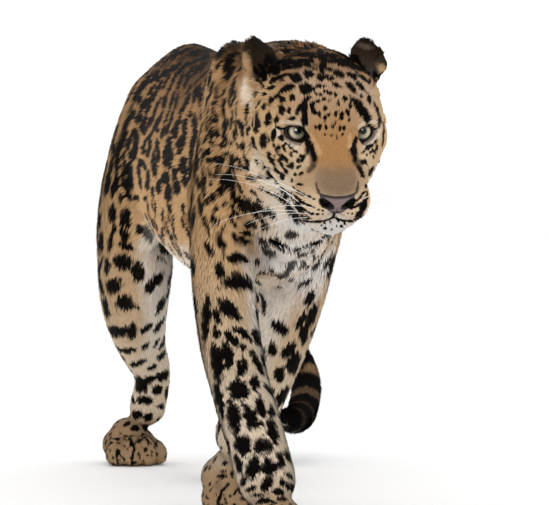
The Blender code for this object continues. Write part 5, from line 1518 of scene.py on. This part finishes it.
def hollows(piece, points, normals):
    """One in the creases of the skin, between toes or lips, by how far a much smoothed copy lies above it; painted
    shade darkens the colour there.
    """
    edges = np.zeros(len(piece.data.edges) * 2, int)
    piece.data.edges.foreach_get("vertices", edges)
    ends = np.concatenate([edges.reshape(-1, 2), edges.reshape(-1, 2)[:, ::-1]])
    count = np.maximum(np.bincount(ends[:, 0], minlength=len(points)), 1)
    smooth = points.copy()
    for _ in range(HOLLOW_STEPS):
        smooth = np.stack([np.bincount(ends[:, 0], smooth[ends[:, 1], axis], len(points)) / count
                           for axis in range(3)], 1)
    return np.clip(np.sum((smooth - points) * normals, axis=1) / HOLLOW_DEPTH, 0, 1)


HEAD_POINTS = slice(0, len(skin_points[0]))
BODY_POINTS = slice(len(skin_points[0]), len(all_points))
all_hollow = np.concatenate([hollows(piece, points, normals) for piece, points, normals
                             in zip((skin_head, skin_body), skin_points, skin_normals)])
# Painted shade: the skin, which lies under the coat, is darker overall by SKIN_SHADE, and darker still in its
# creases
all_colours = painted(all_points, all_normals, all_shares, all_along) * SKIN_SHADE
all_colours *= (1 - CREASE_PAINTED_SHADE * all_hollow)[:, None]
for piece, part in ((skin_head, HEAD_POINTS), (skin_body, BODY_POINTS)):
    give_colours(piece, all_colours[part])
print("the skins are coloured")


def tint(nodes, shader, noise, darkest, palest):
    """Paints a shader with the colours of its piece, a little darker and paler by the noise."""
    shade = map_range(nodes, 0, 1, darkest, palest)
    tinted = add_node(nodes, "VectorMath", operation="SCALE")
    wire(noise, "Fac", shade, "Value")
    wire(add_node(nodes, "Attribute", attribute_name=COLOUR_NAME), "Color", tinted, 0)
    wire(shade, "Result", tinted, "Scale")
    wire(tinted, "Vector", shader, "Base Color")


def coat_material(name, roughness, bump_scale, bump_depth):
    """Hair: the colour attribute, a little darker and paler by a fine noise, and fine bump for hairs thinner than a
    tuft.
    """
    material, nodes, shader = new_material(name, roughness)
    fine = add_node(nodes, "TexNoise", {"Scale": bump_scale, "Detail": 3.0})
    bump = add_node(nodes, "Bump", {"Distance": bump_depth, "Strength": 0.6})
    wire(add_node(nodes, "TexCoord"), "Object", fine, "Vector")
    wire(fine, "Fac", bump, "Height")
    wire(bump, "Normal", shader, "Normal")
    tint(nodes, shader, fine, 0.90, 1.10)
    shader.inputs["Specular IOR Level"].default_value = 0.03
    return material


skin_material = coat_material("short_fur_skin", 0.75, 900.0, 0.0006)
fur_material = coat_material("fur", 0.62, 1400.0, 0.0003)
for piece in (skin_head, skin_body):
    piece.data.materials.append(skin_material)

# %% [markdown]
# The coat itself is small solid tufts. Particle hair would be the usual way, but it isn't a mesh that
# can be kept, so each tuft is a closed spear of four triangles: a root in the skin, two shoulders
# and a tip, tilted a little out of the skin. They are set on the points of the skin in a mixed order
# and coloured for the place where their visible end is. Where the fur is long, a tuft of ten
# triangles bends down again towards its tip.

# %% Tufts
BODY_TUFTS = 185000
HEAD_TUFTS = 62000
LONG_TUFTS = 42000
LONG_HEAD_TUFTS = 26000
COAT_SHADE = 0.90
ROOT_SUNK = 0.0003
PATCH = 0.0015
FLOOR_CLEARANCE = 0.0006
MOST_IN_A_PIECE = 45000
COARSE_VOXEL = 0.009
UNWRAP_ANGLE = math.radians(66)
UNWRAP_MARGIN = 0.004
# Where a spear is widest: how far along it, and how far out by its width
SHOULDERS = (0.36, 0.22)
# The waists of a bent tuft: shares of its length, its height and its width
WAISTS = ((0.0, 0.0, 0.55), (0.48, 0.72, 0.80))
RIDGE = 0.35
BENT_TIP = 0.85


def placed(points, normals, lie, length, width, tilt):
    """Spears: root, two shoulders and tip, as points, and their four triangles."""
    side = np.cross(normals, lie)
    tip = points + lie * (length * np.cos(tilt))[:, None] + normals * (length * np.sin(tilt))[:, None]
    root = points - normals * ROOT_SUNK
    middle = root + (tip - root) * SHOULDERS[0] + normals * (width * SHOULDERS[1])[:, None]
    left = middle - side * (width / 2)[:, None]
    right = middle + side * (width / 2)[:, None]
    corners = np.stack([root, left, right, tip], 1)
    faces = np.array([[0, 1, 2], [1, 3, 2], [0, 3, 1], [0, 2, 3]])
    return corners, faces


def bent(points, normals, lie, length, width, tilt):
    """Longer tufts of ten triangles: a root, a waist and a tip that bends down along the body."""
    side = np.cross(normals, lie)
    root = points - normals * ROOT_SUNK
    steps = []
    for share, lift, wide in WAISTS:
        centre = root + lie * (length * share * np.cos(tilt))[:, None]
        centre = centre + normals * (length * lift * np.sin(tilt))[:, None]
        half = side * (width * wide / 2)[:, None]
        steps += [centre - half, centre + half, centre + normals * (width * RIDGE * wide)[:, None]]
    tip = root + lie * (length * np.cos(tilt))[:, None] + normals * (length * BENT_TIP * np.sin(tilt))[:, None]
    corners = np.stack(steps + [tip], 1)
    faces = np.array([[0, 2, 1], [0, 1, 4], [0, 4, 3], [1, 2, 5], [1, 5, 4], [2, 0, 3], [2, 3, 5],
                      [3, 4, 6], [4, 5, 6], [5, 3, 6]])
    return corners, faces


print("up to", MOST_IN_A_PIECE, "tufts in a piece")

# %% [markdown]
# So that each piece's colours can be baked into an image, every tuft needs its place on one. The dense
# skin would be slow to unwrap. So a coarse copy of it is unwrapped instead, and each tuft takes the
# small patch under its root.

# %% Unwrap of the skin
coarse = merged_copy(FLESH, "coarse_skin")
apply_modifier(coarse, "DISPLACE", strength=GAP_CLOSER, mid_level=0.0)
apply_modifier(coarse, "REMESH", mode="VOXEL", voxel_size=COARSE_VOXEL)
apply_modifier(coarse, "TRIANGULATE")
select_only(coarse)
on_whole_mesh(bpy.ops.uv.smart_project, angle_limit=UNWRAP_ANGLE, island_margin=UNWRAP_MARGIN)
coarse_tree = tree_of(coarse)
coarse_points, _ = points_of(coarse)
coarse_corners = np.zeros(len(coarse.data.loops), int)
coarse.data.loops.foreach_get("vertex_index", coarse_corners)
coarse_corners = coarse_corners.reshape(-1, 3)
coarse_uv = np.zeros(len(coarse.data.loops) * 2)
coarse.data.uv_layers.active.uv.foreach_get("vector", coarse_uv)
coarse_uv = coarse_uv.reshape(-1, 3, 2)
bpy.data.objects.remove(coarse)
print("unwrap:", len(coarse_corners), "triangles")


def unwrapped(points):
    """The place of each point on the unwrap of the skin's shape."""
    nearest = np.array([coarse_tree.find_nearest(point)[2] for point in points])
    a, b, c = (coarse_points[coarse_corners[nearest, k]] for k in range(3))
    ab, ac, ap = b - a, c - a, points - a
    d00, d01, d11 = (np.sum(x * y, axis=1) for x, y in ((ab, ab), (ab, ac), (ac, ac)))
    d20, d21 = np.sum(ap * ab, axis=1), np.sum(ap * ac, axis=1)
    spread = np.maximum(d00 * d11 - d01 * d01, 1e-18)
    v = np.clip((d11 * d20 - d01 * d21) / spread, 0, 1)
    w = np.clip((d00 * d21 - d01 * d20) / spread, 0, 1)
    uv = coarse_uv[nearest]
    return uv[:, 0] + v[:, None] * (uv[:, 1] - uv[:, 0]) + w[:, None] * (uv[:, 2] - uv[:, 0])


print("a patch is", 2 * PATCH, "of the image wide")

# %% [markdown]
# A piece is one mesh of many tufts. Its smooth shading takes the way that the skin faces under each
# tuft, which makes the tufts look like one soft coat.

# %% A piece of the coat
def make_coat_piece(name, corners, faces, shading, root_uv, colours, tone):
    """One mesh of many tufts. tone darkens each corner towards the root and lightens it at the tip: painted shade
    deep in the coat and painted light on its outside.
    """
    count, size = corners.shape[:2]
    corners = corners.copy()
    corners[:, :, 2] = np.maximum(corners[:, :, 2], FLOOR_CLEARANCE)
    mesh = bpy.data.meshes.new(name)
    triangles = (faces[None] + np.arange(count)[:, None, None] * size).reshape(-1, 3)
    mesh.vertices.add(count * size)
    mesh.vertices.foreach_set("co", corners.reshape(-1))
    mesh.loops.add(len(triangles) * 3)
    mesh.loops.foreach_set("vertex_index", triangles.ravel().astype(np.int32))
    mesh.polygons.add(len(triangles))
    mesh.polygons.foreach_set("loop_start", (np.arange(len(triangles)) * 3).astype(np.int32))
    mesh.polygons.foreach_set("use_smooth", np.ones(len(triangles), bool))
    mesh.update(calc_edges=True)
    layer = mesh.uv_layers.new(name="OFBake")
    spread_uv = np.linspace(-1, 1, size)
    offsets = np.stack([spread_uv, np.where(np.arange(size) % 2 == 0, -1.0, 1.0)], 1) * PATCH
    corner_uv = root_uv[:, None, :] + offsets[None]
    layer.uv.foreach_set("vector", corner_uv.reshape(-1, 2)[triangles.ravel()].ravel().astype(np.float32))
    mesh.normals_split_custom_set_from_vertices(np.repeat(shading, size, axis=0).astype(np.float32))
    piece = bpy.data.objects.new(name, mesh)
    bpy.context.scene.collection.objects.link(piece)
    give_colours(piece, (colours[:, None, :] * tone[:, :, None]).reshape(-1, 3))
    mesh.materials.append(fur_material)
    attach(piece, "root")


print("no tuft reaches lower than", FLOOR_CLEARANCE, "m")

# %% [markdown]
# No tuft grows in the slit of an eye, on the bare nose, under a sole, or on the end of one skin that
# lies inside the other. Everywhere else the points are chosen by lot, more of them where the hair is
# short.

# %% Where tufts grow
EYE_OPENING = (0.0150, 0.0105)
EYE_OPENING_UP = 0.0005
# The outline of the bare nose: heights and half widths
LEATHER_UP = (-0.057, -0.048, -0.0375, -0.0275)
LEATHER_HALF = (0.005, 0.0135, 0.0220, 0.0225)
LEATHER_BOTTOM = -0.058
BURIED = 0.0040
NEAR_THE_HEAD = 0.22
SOLES_BELOW = 0.004
SOLES_FACE = -0.4
USUAL_LENGTH = 0.012
TUFT_LENGTHS = (0.003, 0.008, 0.020)
TUFT_WIDTHS = (0.0010, 0.0016, 0.0021)
SEEN_END = 0.62
# How much tufts differ: turn, shift of the root, length, tilt in degrees, width and shade
TUFT_TURN = 0.13
TUFT_SHIFT = (-0.001, 0.001)
LENGTHS = (0.80, 1.20)
TILTS = (9, 17)
WIDTHS = (0.85, 1.15)
SHADES = (0.90, 1.10)
LONG_FROM = (0.012, 0.018)


def eye_openings(points):
    """True where a tuft would grow out of an eye's slit or its lids' rims."""
    sideways, forward, up = head_coordinates(points)
    x = (np.abs(sideways) - EYE_HALF_SPACING) / EYE_OPENING[0]
    z = (up - EYE_OPENING_UP) / EYE_OPENING[1]
    return (x * x + z * z < 1) & (forward > 0.0)


def nose_leather(points):
    """True on the bare nose, where no hair grows."""
    sideways, forward, up = head_coordinates(points)
    inside = (np.abs(sideways) < np.interp(up, LEATHER_UP, LEATHER_HALF)) & (forward > NOSE_AHEAD_OF)
    return inside & (up > LEATHER_BOTTOM) & (up < LEATHER_UP[-1])


def buried(points, other_skin):
    """True for points of one skin that lie well inside the other one, where no tuft should grow."""
    inside = np.zeros(len(points), bool)
    near = length_of(points - np.array(head_place(*HEAD_MIDDLE))) < NEAR_THE_HEAD
    for index in np.nonzero(near)[0]:
        place, normal, _, _ = other_skin.find_nearest(points[index])
        inside[index] = (Vector(points[index]) - place).dot(normal) < -BURIED
    return inside


all_buried = np.concatenate([buried(skin_points[0], skin_trees[1]), buried(skin_points[1], skin_trees[0])])
print("points inside the other skin:", np.count_nonzero(all_buried))


def grow(part_of_skin, count, bent_share, seed, width_scale):
    """Tufts on a shuffled choice of these points, with the part that each one is on."""
    order = np.random.default_rng(seed)
    points, normals, lie = all_points[part_of_skin], all_normals[part_of_skin], all_lie[part_of_skin]
    shares = {part: share[part_of_skin] for part, share in all_shares.items()}
    along = {part: way[part_of_skin] for part, way in all_along.items()}
    length = hair_length(points, normals, shares, along)
    weight = 1.0 / np.sqrt(length / USUAL_LENGTH)
    weight[eye_openings(points) | nose_leather(points) | all_buried[part_of_skin]] = 0
    weight[(points[:, 2] < SOLES_BELOW) & (normals[:, 2] < SOLES_FACE)] = 0
    weight /= weight.sum()
    chosen = order.choice(len(points), min(count, np.count_nonzero(weight)), replace=False, p=weight)
    points, normals, lie, length = points[chosen], normals[chosen], lie[chosen], length[chosen]
    shares = {part: share[chosen] for part, share in shares.items()}
    along = {part: way[chosen] for part, way in along.items()}
    turn = order.normal(0, TUFT_TURN, len(chosen))
    side = np.cross(normals, lie)
    points = points + (side * order.uniform(*TUFT_SHIFT, len(chosen))[:, None]
                       + lie * order.uniform(*TUFT_SHIFT, len(chosen))[:, None])
    lie = lie * np.cos(turn)[:, None] + side * np.sin(turn)[:, None]
    length = length * order.uniform(*LENGTHS, len(chosen))
    tilt = np.radians(order.uniform(*TILTS, len(chosen)))
    width = width_scale * np.interp(length, TUFT_LENGTHS, TUFT_WIDTHS)
    width *= order.uniform(*WIDTHS, len(chosen))
    seen = points + lie * (SEEN_END * length)[:, None]
    colours = painted(seen, normals, shares, along) * COAT_SHADE
    colours *= order.uniform(*SHADES, len(chosen))[:, None]
    # Painted shade: tufts in the creases of the skin are darkened
    colours *= (1 - CREASE_PAINTED_SHADE * all_hollow[part_of_skin][chosen])[:, None]
    long_enough = order.random(len(chosen)) < bent_share * smooth_step(*LONG_FROM, length)
    part = np.argmax(np.stack([shares[p] for p in PARTS]), axis=0)
    return dict(points=points, normals=normals, lie=lie, length=length, width=width, tilt=tilt,
                colours=colours, bent=long_enough, part=part, uv=unwrapped(points))


# How light each corner of a tuft is, from its root to its tip: the darker root is painted shade deep in the coat,
# the paler tip painted light on its outside
SPEAR_PAINTED_SHADING = (0.72, 0.92, 0.92, 1.08)
BENT_PAINTED_SHADING = (0.70, 0.70, 0.75, 0.92, 0.92, 0.98, 1.08)


def make_coat(name, rows, chosen, is_bent):
    """The chosen tufts as pieces of no more than a certain size, and how many pieces that took."""
    shape, tones, most = placed, SPEAR_PAINTED_SHADING, MOST_IN_A_PIECE
    if is_bent:
        shape, tones, most = bent, BENT_PAINTED_SHADING, MOST_IN_A_PIECE // 3
    values = {key: value[chosen] for key, value in rows.items()}
    corners, faces = shape(*[values[key] for key in ("points", "normals", "lie", "length", "width", "tilt")])
    tone = np.tile(tones, (len(corners), 1))
    starts = range(0, len(corners), most)
    for number, start in enumerate(starts):
        part = slice(start, start + most)
        make_coat_piece(f"{name}_{number + 1}", corners[part], faces, values["normals"][part],
                        values["uv"][part], values["colours"][part], tone[part])
    return len(starts)


print("tones of a tuft:", SPEAR_PAINTED_SHADING)

# %% [markdown]
# Short tufts cover both skins, and longer, bent ones are added where the hair is long. The tufts of
# each part of the body go into pieces of their own. Last, the skins are thinned.

# %% The coat
body_rows = grow(BODY_POINTS, BODY_TUFTS, 0.0, 7, 1.0)
body_long = grow(BODY_POINTS, LONG_TUFTS, 1.0, 9, 1.0)
head_rows = grow(HEAD_POINTS, HEAD_TUFTS, 0.0, 8, 0.85)
GROUPS = {"head": ["head"], "neck": ["neck"], "trunk": ["trunk"], "tail": ["tail"],
          "forelegs": ["fore_right", "fore_left"], "hind_legs": ["hind_right", "hind_left"]}
coat_count = 0
for label, rows in (("body", body_rows), ("head", head_rows)):
    for group, parts in GROUPS.items():
        mask = np.isin(rows["part"], [PARTS.index(p) for p in parts])
        if np.count_nonzero(mask):
            coat_count += make_coat(f"coat_{label}_{group}", rows, np.nonzero(mask)[0], False)
head_long = grow(HEAD_POINTS, LONG_HEAD_TUFTS, 1.0, 10, 0.8)
for label, rows in (("coat_long_body", body_long), ("coat_long_head", head_long)):
    coat_count += make_coat(label, rows, np.nonzero(rows["bent"])[0], True)
    print(label, np.count_nonzero(rows["bent"]))
print("tufts:", len(body_rows["points"]), len(head_rows["points"]), "in", coat_count, "pieces")

for piece in (skin_head, skin_body):
    now = sum(len(face.vertices) - 2 for face in piece.data.polygons)
    apply_modifier(piece, "DECIMATE", ratio=min(1.0, SKIN_TRIANGLES[piece.name] / now))
    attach(piece, "root")
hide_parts("head", "ear_right", "ear_left")
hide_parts(*BODY_FLESH)
print("skins thinned to", [len(piece.data.polygons) for piece in (skin_head, skin_body)])

# %% [markdown]
# An eye is a wet ball with a clear bulge over the iris. The ball is a UV sphere whose pole is turned
# to where the animal looks, so that the rings of the sphere run round the pupil. The iris is pale,
# darker towards the pupil, with fine rays and a dark rim; the pupil is round. The clear coat of the
# shader gives the wet gloss. The shadow of the upper lid and the small bright spot are painted at
# the places where the picture has them.

# %% Eyes
PUPILS = {"right": (297.7, 131.0), "left": (362.9, 130.8)}
GLINTS = {"right": (295.9, 129.8), "left": (362.0, 129.3)}
GLINT_SIZE = (0.0009, 0.0015)
PUPIL = 0.245
EYE_BLACK = (0.004, 0.004, 0.004)
DARK_RING = srgb(14, 10, 8)
# From the middle of the pupil outwards, in shares of the ball's radius
IRIS_RINGS = [(0.0, EYE_BLACK), (PUPIL - 0.015, EYE_BLACK), (PUPIL + 0.02, srgb(104, 98, 78)),
              (0.31, srgb(158, 150, 124)), (0.46, srgb(196, 186, 160)), (0.55, srgb(160, 146, 118)),
              (0.60, srgb(64, 50, 38)), (0.64, DARK_RING), (1.0, DARK_RING)]
BULGE = 0.0008
BULGE_HALF_ANGLE = math.radians(36)
EYE_FIT = 0.0001


def eye_material(name, centre, gaze, radius, glint_place):
    """Rings of colour round the gaze, with fine rays, the shadow of the upper lid and a small bright spot."""
    material, nodes, shader = new_material(name, 0.12)
    place = add_node(nodes, "TexCoord")
    turn = gaze.to_track_quat("Z", "Y").to_euler()
    mapping = add_node(nodes, "Mapping", {"Location": centre, "Rotation": turn, "Scale": (radius, radius, radius)},
                       vector_type="TEXTURE")
    flat = add_node(nodes, "VectorMath", {1: (1, 1, 0)}, operation="MULTIPLY")
    out = add_node(nodes, "VectorMath", operation="LENGTH")
    rings = colour_ramp(nodes, IRIS_RINGS)
    wire(place, "Object", mapping, "Vector")
    wire(mapping, "Vector", flat, 0)
    wire(flat, "Vector", out, 0)
    wire(out, "Value", rings, "Fac")

    unit_out = add_node(nodes, "VectorMath", operation="NORMALIZE")
    rays = add_node(nodes, "TexNoise", {"Scale": 9.0, "Detail": 4.0})
    strength = map_range(nodes, 0, 1, 0.72, 1.22)
    wire(flat, "Vector", unit_out, 0)
    wire(unit_out, "Vector", rays, "Vector")
    wire(rays, "Fac", strength, "Value")

    height = add_node(nodes, "SeparateXYZ")
    lid_shadow = map_range(nodes, centre.z + 0.05 * radius, centre.z + 0.50 * radius, 1.0, 0.50)
    both = add_node(nodes, "Math", operation="MULTIPLY")
    shaded = add_node(nodes, "VectorMath", operation="SCALE")
    wire(place, "Object", height, "Vector")
    wire(height, "Z", lid_shadow, "Value")
    wire(strength, "Result", both, 0)
    wire(lid_shadow, "Result", both, 1)
    wire(rings, "Color", shaded, 0)
    wire(both, "Value", shaded, "Scale")

    from_glint = add_node(nodes, "VectorMath", {1: glint_place}, operation="DISTANCE")
    glint = map_range(nodes, *GLINT_SIZE, 1.0, 0.0)
    lit = add_node(nodes, "Mix", {"B": (1, 1, 1, 1)}, data_type="RGBA")
    wire(place, "Object", from_glint, 0)
    wire(from_glint, "Value", glint, "Value")
    wire(glint, "Result", lit, "Factor")
    wire(shaded, "Vector", lit, "A")
    wire(lit, "Result", shader, "Base Color")

    gloss = map_range(nodes, 0.60, 0.66, 0.30, 0.0)
    wire(out, "Value", gloss, "Value")
    wire(gloss, "Result", shader, "Coat Weight")
    shader.inputs["Specular IOR Level"].default_value = 0.1
    shader.inputs["Coat Roughness"].default_value = 0.02
    return material


def ball_radius(node):
    """The radius of a round solid, from its box."""
    low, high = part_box(node)
    return (high - low).length / (2 * math.sqrt(3))


print("rings of the iris:", len(IRIS_RINGS))

# %% [markdown]
# Where the eyes look was read from the picture: the middle of each pupil is a pixel, and the line of
# sight through it meets the ball at the place where the pupil has to be.

# %% Eyeballs
def seen_on_ball(u, v, centre, radius):
    """Where the camera's line of sight through this pixel meets a ball."""
    way = sight(u, v)
    reach = camera.location - centre
    along_way = reach.dot(way)
    return camera.location + way * (-along_way - math.sqrt(max(0, along_way ** 2 - reach.dot(reach) + radius ** 2)))


for side in ("right", "left"):
    node = "eye_" + side
    centre = box_middle(node)
    radius = ball_radius(node) + EYE_FIT
    gaze = (seen_on_ball(*PUPILS[side], centre, radius) - centre).normalized()
    glint_place = seen_on_ball(*GLINTS[side], centre, radius + BULGE * 0.9)
    bpy.ops.object.select_all(action="DESELECT")
    bpy.ops.mesh.primitive_uv_sphere_add(segments=64, ring_count=48, radius=radius)
    ball = bpy.context.object
    ball.name = "eyeball_" + side
    turn = gaze.to_track_quat("Z", "Y").to_matrix().to_4x4()
    ball.data.transform(Matrix.Translation(centre) @ turn)
    for vertex in ball.data.vertices:
        out = (vertex.co - centre).normalized()
        lift = smooth_step(math.cos(BULGE_HALF_ANGLE), 1.0, np.array([out.dot(gaze)]))[0]
        vertex.co = centre + out * (radius + BULGE * lift)
    bpy.ops.object.shade_smooth()
    ball.data.materials.append(eye_material("wet_eye_" + side, centre, gaze, radius, glint_place))
    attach(ball, "root")
    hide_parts(node)
    print(node, "centre", [round(v, 4) for v in centre], "radius", round(radius, 4),
          "gaze", [round(v, 2) for v in gaze])

# %% [markdown]
# Round each eye runs a narrow black rim of bare skin, which makes the look of a cat. It is a thin
# ring: a torus laid on the eyeball and drawn out to the almond of the slit between the lids.

# %% Rims of the lids
RIM_THICKNESS = 0.0011
RIM_OUT = 0.0008
RING_THICKNESS = 0.1
CORNER_SHAPE = 0.85
LID_SHAPE = 1.25


def blotched(nodes, shader, scale, dark, pale):
    """Gives a shader two shades in small blotches, and returns their noise."""
    noise = add_node(nodes, "TexNoise", {"Scale": scale})
    ramp = colour_ramp(nodes, [(0.0, dark), (1.0, pale)])
    wire(add_node(nodes, "TexCoord"), "Object", noise, "Vector")
    wire(noise, "Fac", ramp, "Fac")
    wire(ramp, "Color", shader, "Base Color")
    return noise


rim_material, nodes, shader = new_material("lid_rim", 0.55)
bump = add_node(nodes, "Bump", {"Distance": 0.0002})
wire(blotched(nodes, shader, 700.0, (0.006, 0.005, 0.004), (0.022, 0.016, 0.013)), "Fac", bump, "Height")
wire(bump, "Normal", shader, "Normal")
shader.inputs["Specular IOR Level"].default_value = 0.2

for side, sign in EYE_SIDES.items():
    centre = box_middle("eye_" + side)
    radius = ball_radius("eye_" + side)
    frame_of_eye = eye_turned(sign)
    bpy.ops.object.select_all(action="DESELECT")
    bpy.ops.mesh.primitive_torus_add(major_radius=1.0, minor_radius=RING_THICKNESS, major_segments=56,
                                     minor_segments=8)
    rim = bpy.context.object
    rim.name = "lid_rim_" + side
    for vertex in rim.data.vertices:
        flat_radius = math.hypot(vertex.co.x, vertex.co.y)
        across = (flat_radius - 1.0) / RING_THICKNESS * RIM_THICKNESS
        height = vertex.co.z / RING_THICKNESS * RIM_THICKNESS
        angle = math.atan2(vertex.co.y, vertex.co.x)
        x = SLIT_HALF_WIDTH * math.copysign(abs(math.cos(angle)) ** CORNER_SHAPE, math.cos(angle))
        tall = SLIT_UPPER if math.sin(angle) > 0 else SLIT_LOWER
        z = tall * math.copysign(abs(math.sin(angle)) ** LID_SHAPE, math.sin(angle))
        out = Vector((x, 0, z)).normalized()
        x, z = x + out.x * across, z + out.z * across
        slant = sign * SLIT_SLANT
        x, z = x * math.cos(slant) - z * math.sin(slant), x * math.sin(slant) + z * math.cos(slant)
        shell = radius + RIM_OUT + height
        forward = math.sqrt(max(shell ** 2 - x * x - z * z, 1e-8))
        vertex.co = centre + frame_of_eye @ Vector((x, -forward, z))
    bpy.ops.object.shade_smooth()
    on_whole_mesh(bpy.ops.mesh.normals_make_consistent, inside=False)
    rim.data.materials.append(rim_material)
    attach(rim, "root")
print("lid rims:", 2 * RIM_THICKNESS, "m wide")

# %% [markdown]
# The nose leather is bare, pebbled and slightly damp, with a nostril on each side. Its shape is
# already in the solids, so a copy of that node is remeshed finely and smoothed, and it then takes
# the node's place. A pebble pattern of small cells gives the bump.

# %% Nose
NOSE_COLOURS = {"leather": srgb(124, 106, 104), "edge": srgb(40, 31, 28), "black": srgb(8, 6, 6)}
NOSE_BACK = 0.0006
NOSE_VOXEL = 0.0007
NOSE_SWELL = 0.0004
NOSTRIL_DEPTH = 0.0024

nose = merged_copy(["nose"], "nose_leather")
nose.data.transform(Matrix.Translation(head_frame.to_3x3() @ Vector((0, -NOSE_BACK, -NOSE_DOWN))))
apply_modifier(nose, "REMESH", mode="VOXEL", voxel_size=NOSE_VOXEL)
apply_modifier(nose, "SMOOTH", factor=0.5, iterations=6)
apply_modifier(nose, "DISPLACE", strength=NOSE_SWELL, mid_level=0.0)
select_only(nose)
bpy.ops.object.shade_smooth()
points, normals = points_of(nose)
sideways, forward, up = head_coordinates(points)
nostril = from_nostril(sideways, up)
up = up + NOSE_DOWN
wing = smooth_step(0.0120, 0.0175, np.abs(sideways)) * 0.85
top = smooth_step(-0.0290, -0.0255, up)
middle = smooth_step(0.0014, 0.0004, np.abs(sideways)) * smooth_step(-0.036, -0.041, up)
bottom = smooth_step(-0.0435, -0.0475, up)
edge = np.clip(np.maximum(np.maximum(wing, top), 0.8 * middle), 0, 1)
colours = mix(NOSE_COLOURS["leather"], NOSE_COLOURS["edge"], edge)
# Painted shade: the nostrils are pressed in only a little, so the dark inside them is painted black
colours = mix(colours, NOSE_COLOURS["black"], np.maximum(smooth_step(1.25, 0.85, nostril), bottom))
give_colours(nose, colours)
press = NOSTRIL_DEPTH * smooth_step(1.2, 0.5, nostril)
set_points(nose, points - normals * press[:, None])

material, nodes, shader = new_material("damp_nose", 0.42)
place = add_node(nodes, "TexCoord")
pebbles = add_node(nodes, "TexVoronoi", {"Scale": 900.0})
blotches = add_node(nodes, "TexNoise", {"Scale": 160.0})
bump = add_node(nodes, "Bump", {"Distance": 0.0003, "Strength": 0.6})
wire(place, "Object", pebbles, "Vector")
wire(place, "Object", blotches, "Vector")
wire(pebbles, "Distance", bump, "Height")
wire(bump, "Normal", shader, "Normal")
tint(nodes, shader, blotches, 0.75, 1.20)
shader.inputs["Specular IOR Level"].default_value = 0.25
nose.data.materials.append(material)
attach(nose, "root")
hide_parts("nose")
print("nose:", len(nose.data.polygons), "faces")

# %% [markdown]
# White whiskers grow in rows from the pads beside the nose, stiff and bent back a little by their
# own weight. A curve with a round bevel that thins towards its end makes one; all of them are then
# turned into one mesh.

# %% Whiskers
# Each one: where its root is on the pad, how far up it points, and its length
WHISKERS = [
    (0.026, 0.088, -0.042, 0.40, 0.088), (0.033, 0.079, -0.041, 0.52, 0.100), (0.024, 0.091, -0.047, 0.20, 0.092),
    (0.031, 0.083, -0.047, 0.30, 0.122), (0.037, 0.075, -0.047, 0.14, 0.112), (0.025, 0.090, -0.052, 0.00, 0.082),
    (0.033, 0.080, -0.052, 0.06, 0.126), (0.026, 0.088, -0.057, -0.16, 0.070), (0.034, 0.078, -0.057, -0.26, 0.098),
]
FAR_SIDE_LENGTH = 0.66
WHISKER_RADIUS = 0.00030
WHISKER_STEPS = 10
WHISKER_SUNK = 0.0015
WHISKER_TURN = 0.05
WHISKER_SAG = Vector((0, 0.22, -0.30))
TIP_THINNER = 0.75
# A whisker that would stand out of the animal's box by more than this is laid further back
PROUD = 0.0165
WHISKERS_WITHIN = (SOLID_BOX[0][0] - PROUD, SOLID_BOX[1][0] + PROUD)
order = np.random.default_rng(5)
curve = bpy.data.curves.new("whiskers", "CURVE")
curve.dimensions = "3D"
curve.bevel_depth = WHISKER_RADIUS
curve.bevel_resolution = 0
curve.use_fill_caps = True
for sign in (-1, 1):
    for sideways, forward, up, rise, length in WHISKERS:
        root, normal, _, _ = skin_trees[0].find_nearest(head_place(sign * sideways, forward, up))
        root = root - normal * WHISKER_SUNK
        length = length * order.uniform(0.88, 1.08) * (1.0 if sign < 0 else FAR_SIDE_LENGTH)
        aim = Vector((sign * 0.90, -0.16 + order.uniform(-0.12, 0.12), rise + 0.30 + order.uniform(-0.06, 0.06)))
        out = (head_frame.to_3x3() @ aim).normalized()
        while not WHISKERS_WITHIN[0] < (root + out * length).x < WHISKERS_WITHIN[1] and aim.y < 2:
            aim.y += WHISKER_TURN
            out = (head_frame.to_3x3() @ aim).normalized()
        line = curve.splines.new("POLY")
        line.points.add(WHISKER_STEPS)
        for step in range(WHISKER_STEPS + 1):
            t = step / WHISKER_STEPS
            point = root + out * (length * t) + WHISKER_SAG * (length * t * t)
            line.points[step].co = (*point, 1)
            line.points[step].radius = 1.0 - TIP_THINNER * t
whiskers = bpy.data.objects.new("whiskers", curve)
bpy.context.scene.collection.objects.link(whiskers)
select_only(whiskers)
bpy.ops.object.convert(target="MESH")
whiskers = bpy.context.object
material, nodes, shader = new_material("white_whisker", 0.35)
blotched(nodes, shader, 60.0, (0.86, 0.84, 0.80), (0.97, 0.96, 0.94))
whiskers.data.materials.append(material)
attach(whiskers, "root")
print("whiskers:", 2 * len(WHISKERS))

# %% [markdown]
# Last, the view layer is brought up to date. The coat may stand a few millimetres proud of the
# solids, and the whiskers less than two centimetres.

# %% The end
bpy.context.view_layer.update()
